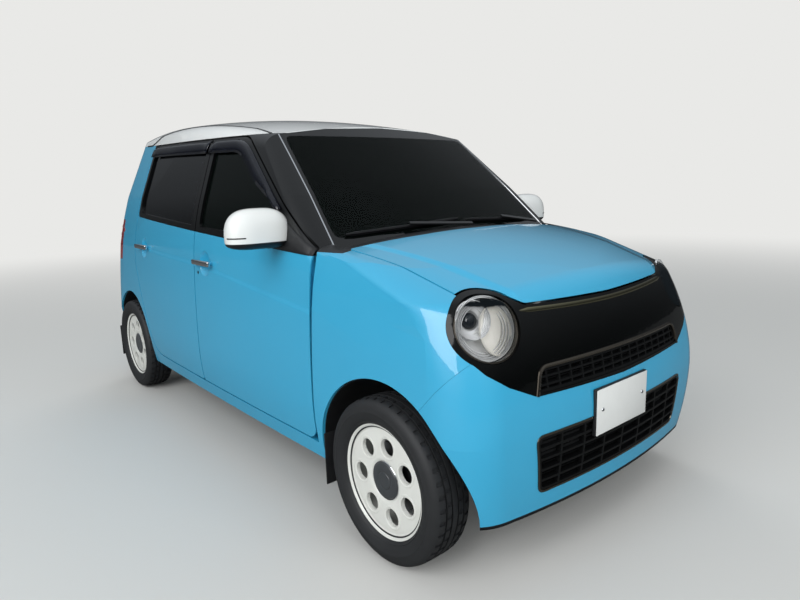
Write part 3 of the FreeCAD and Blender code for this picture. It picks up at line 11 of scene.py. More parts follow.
import bmesh
import bpy
from bmesh.types import BMEdge, BMesh, BMVert
from bpy.types import Material, Node, NodeSocket, NodeTree, Object
from mathutils import Matrix, Vector
from mathutils.bvhtree import BVHTree

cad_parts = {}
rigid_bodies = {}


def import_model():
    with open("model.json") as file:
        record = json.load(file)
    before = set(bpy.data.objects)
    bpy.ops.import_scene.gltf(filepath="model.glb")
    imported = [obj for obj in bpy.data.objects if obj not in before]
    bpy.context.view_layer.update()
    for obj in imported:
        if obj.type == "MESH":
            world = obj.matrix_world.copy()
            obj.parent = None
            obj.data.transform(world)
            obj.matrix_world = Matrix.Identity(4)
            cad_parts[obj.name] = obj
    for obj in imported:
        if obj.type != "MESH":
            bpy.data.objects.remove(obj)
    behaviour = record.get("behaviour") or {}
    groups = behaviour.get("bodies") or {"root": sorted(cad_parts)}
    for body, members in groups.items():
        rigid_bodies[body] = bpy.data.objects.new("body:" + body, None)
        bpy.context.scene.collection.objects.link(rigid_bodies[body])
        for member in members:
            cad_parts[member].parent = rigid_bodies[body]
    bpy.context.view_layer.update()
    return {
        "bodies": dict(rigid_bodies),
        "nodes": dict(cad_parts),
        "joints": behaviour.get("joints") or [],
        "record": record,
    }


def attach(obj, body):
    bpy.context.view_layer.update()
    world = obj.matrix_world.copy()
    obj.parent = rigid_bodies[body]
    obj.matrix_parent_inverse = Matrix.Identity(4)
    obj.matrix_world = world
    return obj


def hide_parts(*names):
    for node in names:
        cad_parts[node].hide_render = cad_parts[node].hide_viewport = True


LOG = logging.getLogger("car")
MM = 0.001

Pair = tuple[float, float]
Triple = tuple[float, float, float]
Quad = tuple[float, float, float, float]
# A point of a surface and the way out there
Station = tuple[Vector, Vector]

# Places taken from the frame's design, in metres and radians
AXLE_X = 1.260
WHEEL_Y = 0.6525
AXLE_Z = 0.2785
LAMP_CENTRE = Vector((1.575, -0.540, 0.815))
LAMP_TOE = math.radians(16.0)
LAMP_TILT = math.radians(17.0)
STEERING_CENTRE = Vector((0.430, -0.330, 0.930))
COLUMN_TILT = math.radians(25.0)
BELT_Z = 1.041
BELT_RISE = -0.049

# Where rays start, well clear of the car's sides and of its ends and roof
CLEAR_OF_SIDES = 1.5
CLEAR_OF_ENDS = 2.5

# Sockets of the Mix node: numbers A and B, colours A and B, and the colour that comes out
NUMBER_A = 2
NUMBER_B = 3
COLOUR_A = 6
COLOUR_B = 7
COLOUR_OUT = 2


class Side(Enum):
    """The two sides of the car, by the sign of y."""

    RIGHT = -1
    LEFT = 1

    @property
    def word(self) -> str:
        """The side's name as the frame spells it."""
        return self.name.lower()


def belt(x: float) -> float:
    """Return the height of the belt line at a station."""
    return BELT_Z + BELT_RISE * x


def linear(code: str) -> Quad:
    """Turn an sRGB hex code into linear colour.

    Args:
        code: six hex digits.
    Returns:
        Red, green, blue and an alpha of one.
    """
    parts = [int(code[index:index + 2], 16) / 255.0 for index in (0, 2, 4)]
    light = [part / 12.92 if part <= 0.04045 else ((part + 0.055) / 1.055) ** 2.4 for part in parts]
    return light[0], light[1], light[2], 1.0


def put(tree: NodeTree, kind: str, values: dict, links: dict, **options: object) -> Node:
    """Add a shader node with its settings and links.

    Args:
        tree: the material's node tree.
        kind: the node's type name.
        values: input name or index to value.
        links: input name or index to the socket that feeds it.
        **options: properties of the node itself.
    Returns:
        The new node.
    """
    made = tree.nodes.new(kind)
    for name, value in options.items():
        setattr(made, name, value)
    for name, value in values.items():
        made.inputs[name].default_value = value
    for name, source in links.items():
        tree.links.new(source, made.inputs[name])
    return made
def fresh(name: str) -> Material:
    """Return a new material with an empty node tree."""
    made = bpy.data.materials.new(name)
    made.use_nodes = True
    made.node_tree.nodes.clear()
    return made

@dataclass(frozen=True)
class Zone:
    """A convex region of a piece, as half-spaces over (x, |y|, z); its corners are rounded."""

    planes: tuple[Quad, ...]
    rounding: float = 0.02

    def depth(self, tree: NodeTree, place: NodeSocket) -> NodeSocket:
        """Build the nodes that give the distance to the zone's edge, negative inside.

        Args:
            tree: the material's node tree.
            place: the Object coordinates.
        Returns:
            The socket with the distance in metres.
        """
        spread = put(tree, "ShaderNodeVectorMath", {}, {0: place}, operation="ABSOLUTE")
        split = put(tree, "ShaderNodeSeparateXYZ", {}, {0: place})
        folded = put(tree, "ShaderNodeSeparateXYZ", {}, {0: spread.outputs[0]})
        links = {0: split.outputs[0], 1: folded.outputs[1], 2: split.outputs[2]}
        both = put(tree, "ShaderNodeCombineXYZ", {}, links).outputs[0]
        deepest = None
        for x, y, z, limit in self.planes:
            along = put(tree, "ShaderNodeVectorMath", {1: (x, y, z)}, {0: both}, operation="DOT_PRODUCT")
            past = put(tree, "ShaderNodeMath", {1: limit}, {0: along.outputs["Value"]}, operation="SUBTRACT")
            if deepest is None:
                deepest = past.outputs[0]
            else:
                links = {0: deepest, 1: past.outputs[0]}
                corner = put(tree, "ShaderNodeMath", {2: self.rounding}, links, operation="SMOOTH_MAX")
                deepest = corner.outputs[0]
        return deepest

    def mask(self, tree: NodeTree, place: NodeSocket, run: float = 0.8 * MM) -> NodeSocket:
        """Build the nodes that give one inside the zone and zero outside.

        Args:
            tree: the material's node tree.
            place: the Object coordinates.
            run: the width of the change.
        Returns:
            The socket with the mask.
        """
        edge = {"From Min": run / 2, "From Max": -run / 2}
        return put(tree, "ShaderNodeMapRange", edge, {"Value": self.depth(tree, place)},
                   interpolation_type="SMOOTHSTEP").outputs[0]


@dataclass(frozen=True)
class Finish:
    """An opaque surface, named for its real material: colours, gloss, grain and coat."""

    name: str
    colour: str
    mottle: str
    roughness: float
    mottle_mm: float = 160.0
    metallic: float = 0.0
    ior: float = 1.5
    coat: float = 0.0
    coat_roughness: float = 0.03
    sheen: float = 0.0
    grain_mm: float = 0.0
    grain_depth_mm: float = 0.0
    roughness_swing: float = 0.05
    zone: Zone | None = None
    zone_colour: str = "060708"
    zone_roughness: float = 0.3
    zone_coat: float = 0.0
    step: Zone | None = None
    step_rise_mm: float = 0.0
    step_run_mm: float = 20.0

    def build(self) -> Material:
        """Make the material, or return it if it is there already."""
        known = bpy.data.materials.get(self.name)
        if known:
            return known
        made = fresh(self.name)
        tree = made.node_tree
        place = put(tree, "ShaderNodeTexCoord", {}, {}).outputs["Object"]
        scale = {"Scale": 1.0 / (self.mottle_mm * MM), "Detail": 3.0, "Roughness": 0.55}
        cloud = put(tree, "ShaderNodeTexNoise", scale, {"Vector": place}).outputs["Fac"]
        tones = {COLOUR_A: linear(self.colour), COLOUR_B: linear(self.mottle)}
        tint = put(tree, "ShaderNodeMix", tones, {0: cloud}, data_type="RGBA").outputs[COLOUR_OUT]
        swing = {"To Min": max(0.02, self.roughness - self.roughness_swing),
                 "To Max": self.roughness + self.roughness_swing}
        rough = put(tree, "ShaderNodeMapRange", swing, {"Value": cloud}).outputs[0]
        values = {"Metallic": self.metallic, "Coat Roughness": self.coat_roughness, "Coat Weight": self.coat,
                  "Sheen Weight": self.sheen}
        if self.metallic < 0.5:
            values["IOR"] = self.ior
        links = {"Base Color": tint, "Roughness": rough}
        if self.zone:
            inside = self.zone.mask(tree, place)
            tones = {COLOUR_B: linear(self.zone_colour)}
            links["Base Color"] = put(tree, "ShaderNodeMix", tones, {0: inside, COLOUR_A: tint},
                                      data_type="RGBA").outputs[COLOUR_OUT]
            gloss = {NUMBER_B: self.zone_roughness}
            links["Roughness"] = put(tree, "ShaderNodeMix", gloss, {0: inside, NUMBER_A: rough}).outputs[0]
            coats = {NUMBER_A: self.coat, NUMBER_B: self.zone_coat}
            links["Coat Weight"] = put(tree, "ShaderNodeMix", coats, {0: inside}).outputs[0]
        if self.step:
            rise = self.step.mask(tree, place, self.step_run_mm * MM)
            pressed = {"Strength": 1.0, "Distance": self.step_rise_mm * MM}
            links["Normal"] = put(tree, "ShaderNodeBump", pressed, {"Height": rise}).outputs[0]
        if self.grain_depth_mm:
            fine = {"Scale": 1.0 / (self.grain_mm * MM), "Detail": 2.0}
            grain = put(tree, "ShaderNodeTexNoise", fine, {"Vector": place}).outputs["Fac"]
            depth = {"Strength": 1.0, "Distance": self.grain_depth_mm * MM}
            feeds = {"Height": grain}
            if "Normal" in links:
                feeds["Normal"] = links["Normal"]
            links["Normal"] = put(tree, "ShaderNodeBump", depth, feeds).outputs[0]
        if self.step:
            links["Coat Normal"] = links["Normal"]
        shader = put(tree, "ShaderNodeBsdfPrincipled", values, links)
        put(tree, "ShaderNodeOutputMaterial", {}, {0: shader.outputs[0]})
        return made


@dataclass(frozen=True)
class Pane:
    """Tinted glass: it is clear head-on and mirrors at a glance, and may carry a black printed border.

    density is how opaque it is head-on; below zero it stays clear over a wider angle.
    """

    name: str
    tint: str
    density: float
    ior: float = 1.52
    border: Zone | None = None
    border_colour: str = "060707"

    def build(self) -> Material:
        """Make the material, or return it if it is there already."""
        known = bpy.data.materials.get(self.name)
        if known:
            return known
        made = fresh(self.name)
        tree = made.node_tree
        place = put(tree, "ShaderNodeTexCoord", {}, {}).outputs["Object"]
        haze = {"Scale": 9.0, "Detail": 4.0}
        smudge = put(tree, "ShaderNodeTexNoise", haze, {"Vector": place}).outputs["Fac"]
        gloss = {"To Min": 0.01, "To Max": 0.05}
        rough = put(tree, "ShaderNodeMapRange", gloss, {"Value": smudge}).outputs[0]
        glance = put(tree, "ShaderNodeFresnel", {"IOR": self.ior}, {}).outputs[0]
        cover = {"From Max": 0.7, "To Min": self.density, "To Max": 1.0}
        solid = put(tree, "ShaderNodeMapRange", cover, {"Value": glance}).outputs[0]
        links = {"Alpha": solid, "Roughness": rough}
        if self.border:
            inside = self.border.mask(tree, place)
            covers = {0: inside, NUMBER_B: solid}
            links["Alpha"] = put(tree, "ShaderNodeMix", {NUMBER_A: 1.0}, covers).outputs[0]
            tones = {COLOUR_A: linear(self.border_colour), COLOUR_B: linear(self.tint)}
            links["Base Color"] = put(tree, "ShaderNodeMix", tones, {0: inside},
                                      data_type="RGBA").outputs[COLOUR_OUT]
        values = {"Base Color": linear(self.tint), "IOR": self.ior}
        shader = put(tree, "ShaderNodeBsdfPrincipled", values, links)
        put(tree, "ShaderNodeOutputMaterial", {}, {0: shader.outputs[0]})
        return made


# Black tape and paint of the window surrounds: all above the belt and ahead of the rear pillar
GREENHOUSE = Zone(((-1.0, 0.0, 0.0, 1.122), (BELT_RISE, 0.0, -1.0, -(BELT_Z - 0.012))), 0.05)
PILLAR_FOOT = Zone(((0.0, 0.0, -1.0, -1.002), (1.0, 0.0, 0.0, 1.010)), 0.004)
SCREEN_CLEAR = Zone(((0.0, 0.0, 1.0, 1.440), (0.0, 0.983, 0.1808, 0.762), (0.0, 0.0, -1.0, -1.040)), 0.05)
REAR_CLEAR = Zone(((0.0, 0.0, 1.0, 1.462), (0.0, 0.938, 0.347, 0.802), (0.0, 0.0, -1.0, -1.158)), 0.05)
CHIN = Zone(((0.0, 0.0, 1.0, 0.224),), 0.0)
MIRROR_BASE = Zone(((0.0, 0.0, 1.0, 1.034),), 0.0)
# Pressed lines, shown by bump alone: the doors stand out below theirs, the bonnet between its own
DOOR_CREASE = Zone(((0.100, 0.0, 1.0, 0.8780), (0.026, 0.0, 1.0, 0.8815)), 0.02)
BONNET_CREASE = Zone(((0.196, 0.981, 0.0, 0.722),), 0.0)

# Solid colour under clear lacquer: wet-looking, with a faint unevenness over a hand's width
SKY_PAINT = Finish("sky_blue_lacquered_paint", "2c9dc6", "31a1c9", 0.40, coat=1.0, coat_roughness=0.025,
                   grain_mm=3.0, grain_depth_mm=0.0025)
SKY_PAINT_BONNET = replace(SKY_PAINT, name="sky_blue_paint_on_pressed_bonnet", step=BONNET_CREASE,
                           step_rise_mm=13.0, step_run_mm=46.0)
SKY_PAINT_DOORS = replace(SKY_PAINT, name="sky_blue_paint_with_black_window_tape", zone=GREENHOUSE,
                          step=DOOR_CREASE, step_rise_mm=6.0, step_run_mm=26.0)
SKY_PAINT_FRAMES = replace(SKY_PAINT, name="sky_blue_paint_with_black_pillars", zone=GREENHOUSE)
SKY_PAINT_WINGS = replace(SKY_PAINT, name="sky_blue_paint_with_black_pillar_foot", zone=PILLAR_FOOT)
SKY_PAINT_BUMPER = replace(SKY_PAINT, name="sky_blue_painted_bumper_moulding", zone=CHIN, zone_roughness=0.5)
WHITE_PAINT = Finish("white_lacquered_paint", "e2e5e4", "e6e8e7", 0.45, coat=1.0, coat_roughness=0.03,
                     grain_mm=3.0, grain_depth_mm=0.0025)
MIRROR_PAINT = Finish("white_painted_mirror_cap", "dfe2e0", "e3e5e3", 0.35, coat=1.0, zone=MIRROR_BASE,
                      zone_colour="131416", zone_roughness=0.45)
# Stove enamel on pressed steel: softer gloss, a little brake dust in the cloud
WHEEL_ENAMEL = Finish("white_stove_enamel", "dcddd8", "cfd0ca", 0.32, mottle_mm=60.0, coat=0.4)
# Injection-moulded and polished black plastic: deep, mirror-like
PIANO_BLACK = Finish("polished_black_abs", "030404", "050606", 0.06, ior=1.38, roughness_swing=0.02)
# Grained black polypropylene: grey sheen from its fine leather grain
GRAINED_BLACK = Finish("grained_black_polypropylene", "17181a", "1d1e20", 0.55, mottle_mm=40.0, grain_mm=1.4,
                       grain_depth_mm=0.06)
# Unpainted moulded bars in the shade of the grille: dull, with no bright edge
GRILLE_BLACK = Finish("black_grille_moulding", "090a0b", "0d0e0f", 0.5, ior=1.32, mottle_mm=30.0)
# Sprayed metal parts: an even half gloss
SATIN_BLACK = Finish("satin_black_paint", "0e0f10", "121314", 0.32, coat=0.2, coat_roughness=0.2)
# Chromium on plastic: bright, faintly warm where dark things mirror
CHROME = Finish("bright_chrome_plate", "d9dbdd", "cfd1d4", 0.06, metallic=1.0, roughness_swing=0.02)
# Darkened chromium round the grilles: brown-grey, less sharp
SMOKED_CHROME = Finish("smoked_chrome_plate", "7a7268", "6a645b", 0.16, metallic=1.0)
# Tinted chromium on the strip at the bonnet's edge: a dull gold
BRONZE_STRIP = Finish("bronze_tinted_chrome_strip", "a19c80", "8f8a6e", 0.14, metallic=1.0)
# Lamp insides: a warm pale scoop, and silvered plastic that scatters more than plated metal
CREAM_REFLECTOR = Finish("cream_moulded_reflector", "fbf9f1", "f6f3e9", 0.30, mottle_mm=30.0, coat=0.4)
LAMP_SILVER = Finish("aluminised_lamp_plastic", "f4f5f6", "eceeef", 0.22, metallic=0.45, mottle_mm=25.0)
# Moulded centre cap: darker than the enamel round it, with a soft sheen
CAP_GREY = Finish("dark_grey_moulded_cap", "35383b", "3b3e41", 0.34, mottle_mm=20.0, coat=0.3)
# Metals under the car: turned steel, rough castings and dipped pressings
BARE_STEEL = Finish("machined_bare_steel", "8a8b8c", "77787a", 0.34, metallic=1.0, mottle_mm=20.0)
CAST_IRON = Finish("cast_iron", "3c3d3f", "4a4b4d", 0.7, metallic=0.6, mottle_mm=30.0, grain_mm=2.0,
                   grain_depth_mm=0.15)
CHASSIS_BLACK = Finish("black_dipped_steel", "141516", "1b1c1d", 0.55, mottle_mm=80.0, grain_mm=4.0,
                       grain_depth_mm=0.05)
# Tyre rubber: dark grey and dry, never black
RUBBER = Finish("carbon_black_tyre_rubber", "1b1c1e", "242628", 0.62, mottle_mm=50.0, grain_mm=1.6,
                grain_depth_mm=0.08)
# Soft skin of the dashboard: matt beige grey
DASH_TOP = Finish("beige_grey_slush_moulded_vinyl", "6b675e", "736f66", 0.6, mottle_mm=60.0, grain_mm=1.6,
                  grain_depth_mm=0.08)
# Woven cloth: matt, with a pale bloom at a glance
SEAT_CLOTH = Finish("charcoal_woven_seat_cloth", "26272b", "34363a", 0.85, mottle_mm=6.0, sheen=0.3,
                    grain_mm=1.8, grain_depth_mm=0.35)
# Coated sheet of the blank plate: a clean, slightly cool white
PLATE_WHITE = Finish("white_reflective_plate_sheet", "dcdedc", "d6d8d6", 0.35, mottle_mm=40.0, coat=0.5)
# Moulded lens plastic: deep colour under a wet gloss
TAIL_RED = Finish("red_moulded_acrylic_lens", "8c0d12", "a01218", 0.12, mottle_mm=14.0, coat=1.0,
                  coat_roughness=0.02)
TAIL_AMBER = Finish("amber_moulded_acrylic_lens", "c46a12", "b85f10", 0.12, mottle_mm=14.0, coat=1.0,
                    coat_roughness=0.02)
# Glass: nearly clear in front, darker towards the back
SCREEN_GLASS = Pane("laminated_windscreen_glass", "0a100e", 0.06, border=SCREEN_CLEAR)
FRONT_GLASS = Pane("green_tinted_door_glass", "0a100e", 0.20)
REAR_GLASS = Pane("dark_privacy_glass", "050608", 0.88)
TAIL_GLASS = Pane("dark_privacy_tailgate_glass", "050608", 0.86, border=REAR_CLEAR)
# Plastics one sees through: smoked visors, lamp covers that show by their gloss, the projector's dark eye
SMOKED_ACRYLIC = Pane("smoked_blue_acrylic_visor", "0b0e18", 0.80)
LAMP_LENS = Pane("clear_polycarbonate_lens", "1c2226", -0.07)
PROJECTOR_GLASS = Pane("projector_glass", "1a2026", 0.85)


class Outside:
    """The outside of chosen frame nodes, found by casting rays at them."""

    def __init__(self, frame: dict, names: list[str]) -> None:
        """Gather the nodes' triangles into one search tree.

        Args:
            names: the nodes to look at.
        """
        gathered = bmesh.new()
        for name in names:
            gathered.from_mesh(frame["nodes"][name].data)
        self.tree = BVHTree.FromBMesh(gathered)
        gathered.free()

    def hit(self, start: Vector, way: Vector) -> Station:
        """Return the point that a ray meets first and the way out of the surface there."""
        point, normal, _, _ = self.tree.ray_cast(start, way)
        if point is None:
            point, normal, _, _ = self.tree.find_nearest(start + way)
        return point, normal if normal.dot(way) < 0 else -normal

    def beside(self, x: float, z: float, side: Side) -> Station:
        """Return the point of the car's side at a station and height, and the way out there."""
        start = Vector((x, CLEAR_OF_SIDES * side.value, z))
        return self.hit(start, Vector((0.0, -side.value, 0.0)))

    def ahead(self, y: float, z: float) -> Station:
        """Return the foremost point at a place across the car and a height, and the way out there."""
        return self.hit(Vector((CLEAR_OF_ENDS, y, z)), Vector((-1.0, 0.0, 0.0)))

    def behind(self, y: float, z: float) -> Station:
        """Return the rearmost point at a place across the car and a height, and the way out there."""
        return self.hit(Vector((-CLEAR_OF_ENDS, y, z)), Vector((1.0, 0.0, 0.0)))

    def above(self, x: float, y: float) -> Station:
        """Return the highest point over a place in plan and the way out there."""
        return self.hit(Vector((x, y, CLEAR_OF_ENDS)), Vector((0.0, 0.0, -1.0)))


def sweep(stations: list[Station], section: list[Pair], closed: bool = False,
          taper: float = 1.0) -> BMesh:
    """Carry a section along a path over a surface.

    Args:
        stations: points of the path and the way out of the surface at each.
        section: corners as (across, out), in metres.
        closed: whether the path returns to its start.
        taper: size of the section at the two ends.
    Returns:
        The closed mesh of the strip.
    """
    made = bmesh.new()
    rings = []
    count = len(stations)
    for index, (point, out) in enumerate(stations):
        before = stations[index - 1][0] if index or closed else point
        after = stations[(index + 1) % count][0] if index < count - 1 or closed else point
        along = (after - before).normalized()
        across = out.cross(along).normalized()
        lift = along.cross(across).normalized()
        size = taper if not closed and index in (0, count - 1) else 1.0
        ring = [made.verts.new(point + across * (u * size) + lift * (v * size)) for u, v in section]
        rings.append([made.edges.new((ring[k], ring[(k + 1) % len(ring)])) for k in range(len(ring))])
    pairs = list(zip(rings, rings[1:] + rings[:1])) if closed else list(zip(rings[:-1], rings[1:]))
    for first, second in pairs:
        bmesh.ops.bridge_loops(made, edges=first + second)
    if not closed:
        for ring in (rings[0], rings[-1]):
            bmesh.ops.contextual_create(made, geom=ring)
    bmesh.ops.recalc_face_normals(made, faces=made.faces)
    return made
def band_section(foot: float, top: float, sunk: float, rise: float, crest: float | None = None) -> list[Pair]:
    """Return the section of a strip that lies on a surface.

    Args:
        foot: half its width at its foot.
        top: half its width where its sides end.
        sunk: how deep its foot lies in the surface.
        rise: how high its sides stand.
        crest: how high its middle stands, where that is a corner of its own.
    Returns:
        The corners as (across, out), in metres.
    """
    middle = [] if crest is None else [(0.0, crest)]
    return [(-foot, -sunk), (-top, rise), *middle, (top, rise), (foot, -sunk)]


def raised(stations: list[Station], lift: float) -> list[Station]:
    """Lift stations off their surface by a distance."""
    return [(spot + out * lift, out) for spot, out in stations]


def sheet(rows: list[list[Vector]]) -> BMesh:
    """Skin rows of points, each as long as the next, with one open sheet."""
    made = bmesh.new()
    edges = []
    for row in rows:
        verts = [made.verts.new(point) for point in row]
        edges.append([made.edges.new(pair) for pair in zip(verts[:-1], verts[1:])])
    for first, second in zip(edges[:-1], edges[1:]):
        bmesh.ops.bridge_loops(made, edges=first + second)
    bmesh.ops.recalc_face_normals(made, faces=made.faces)
    return made


def thickened(thing: Object, thickness: float) -> None:
    """Give a sheet its wall."""
    wall = thing.modifiers.new("wall", "SOLIDIFY")
    wall.thickness = thickness

def between(points: list[Pair], step: float) -> list[Pair]:
    """Fill a polyline with points at most a step apart."""
    filled = [points[0]]
    for (u0, v0), (u1, v1) in zip(points[:-1], points[1:]):
        pieces = max(1, math.ceil(math.hypot(u1 - u0, v1 - v0) / step))
        for index in range(1, pieces + 1):
            share = index / pieces
            filled.append((u0 + (u1 - u0) * share, v0 + (v1 - v0) * share))
    return filled


def rounded(points: list[Triple], closed: bool) -> list[Pair]:
    """Round the corners of an outline of (u, v, radius) points.

    Args:
        points: the corners.
        closed: whether the outline returns to its start.
    Returns:
        The points of the outline, six to a rounded corner.
    """
    result = []
    count = len(points)
    for index, (u, v, radius) in enumerate(points):
        ends = not closed and index in (0, count - 1)
        if radius <= 0 or ends:
            result.append((u, v))
            continue
        here = Vector((u, v))
        before = Vector(points[index - 1][:2]) - here
        after = Vector(points[(index + 1) % count][:2]) - here
        start = here + before.normalized() * radius
        end = here + after.normalized() * radius
        for step in range(7):
            share = step / 6
            spot = start * (1 - share) ** 2 + here * (2 * share * (1 - share)) + end * share ** 2
            result.append((spot.x, spot.y))
    if closed:
        result.append(result[0])
    return result


def spun(profile: list[Pair], steps: int, cap: bool = False) -> BMesh:
    """Spin a profile about the local Z axis.

    Args:
        profile: (radius, height) points in metres.
        steps: how many faces go round.
        cap: whether the profile closes on itself.
    Returns:
        The mesh, with its normals recalculated.
    """
    made = bmesh.new()
    verts = [made.verts.new((radius, 0.0, height)) for radius, height in profile]
    edges = [made.edges.new(pair) for pair in zip(verts[:-1], verts[1:])]
    if cap:
        edges.append(made.edges.new((verts[-1], verts[0])))
    bmesh.ops.spin(made, geom=verts + edges, axis=(0, 0, 1), cent=(0, 0, 0), dvec=(0, 0, 0),
                   angle=2 * math.pi, steps=steps, use_merge=True, use_duplicate=False)
    bmesh.ops.remove_doubles(made, verts=made.verts, dist=1e-6)
    bmesh.ops.recalc_face_normals(made, faces=made.faces)
    return made


def joined(parts: list[BMesh]) -> BMesh:
    """Put several meshes into one and free them."""
    made = bmesh.new()
    for part in parts:
        keep = bpy.data.meshes.new("part")
        part.to_mesh(keep)
        part.free()
        made.from_mesh(keep)
        bpy.data.meshes.remove(keep)
    return made


def slab(size: Triple, centre: Vector, bevel: float, segments: int = 3) -> BMesh:
    """Return a block with rounded edges.

    Args:
        size: its length, width and height.
        centre: its middle.
        bevel: the rounding of its edges.
        segments: how many faces round an edge.
    Returns:
        The mesh.
    """
    made = bmesh.new()
    bmesh.ops.create_cube(made, size=1.0)
    bmesh.ops.scale(made, vec=size, verts=made.verts)
    bmesh.ops.bevel(made, geom=made.edges[:], offset=bevel, segments=segments, profile=0.5, affect="EDGES",
                    material=-1)
    bmesh.ops.translate(made, vec=centre, verts=made.verts)
    return made


@dataclass
class Piece:
    """A finished mesh on its way to the car."""

    name: str
    mesh: BMesh
    finish: Finish | Pane
    slot: str
    body: str
    smooth_degrees: float = 32.0

    def place(self, turn: Matrix | None = None, mirror: bool = False) -> Object:
        """Make the object and let it ride on its body.

        Args:
            turn: carries the mesh from its own frame into the car's.
            mirror: whether the piece goes to the other side of the car.
        Returns:
            The new object, at the origin.
        """
        if turn:
            bmesh.ops.transform(self.mesh, matrix=turn, verts=self.mesh.verts)
        if mirror:
            bmesh.ops.scale(self.mesh, vec=(1, -1, 1), verts=self.mesh.verts)
            bmesh.ops.reverse_faces(self.mesh, faces=self.mesh.faces)
        data = bpy.data.meshes.new(self.name)
        self.mesh.to_mesh(data)
        self.mesh.free()
        for polygon in data.polygons:
            polygon.use_smooth = True
        data.set_sharp_from_angle(angle=math.radians(self.smooth_degrees))
        data.materials.append(self.finish.build())
        made = bpy.data.objects.new(self.name, data)
        bpy.context.scene.collection.objects.link(made)
        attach(made, self.body)
        LOG.info("%s: %d faces on %s", self.name, len(data.polygons), self.body)
        return made


def baked(thing: Object) -> None:
    """Turn an object's modifiers into its mesh."""
    bpy.context.view_layer.update()
    seen = thing.evaluated_get(bpy.context.evaluated_depsgraph_get())
    data = bpy.data.meshes.new_from_object(seen)
    thing.modifiers.clear()
    old = thing.data
    thing.data = data
    bpy.data.meshes.remove(old)
    for polygon in data.polygons:
        polygon.use_smooth = True
    data.set_sharp_from_angle(angle=math.radians(30))


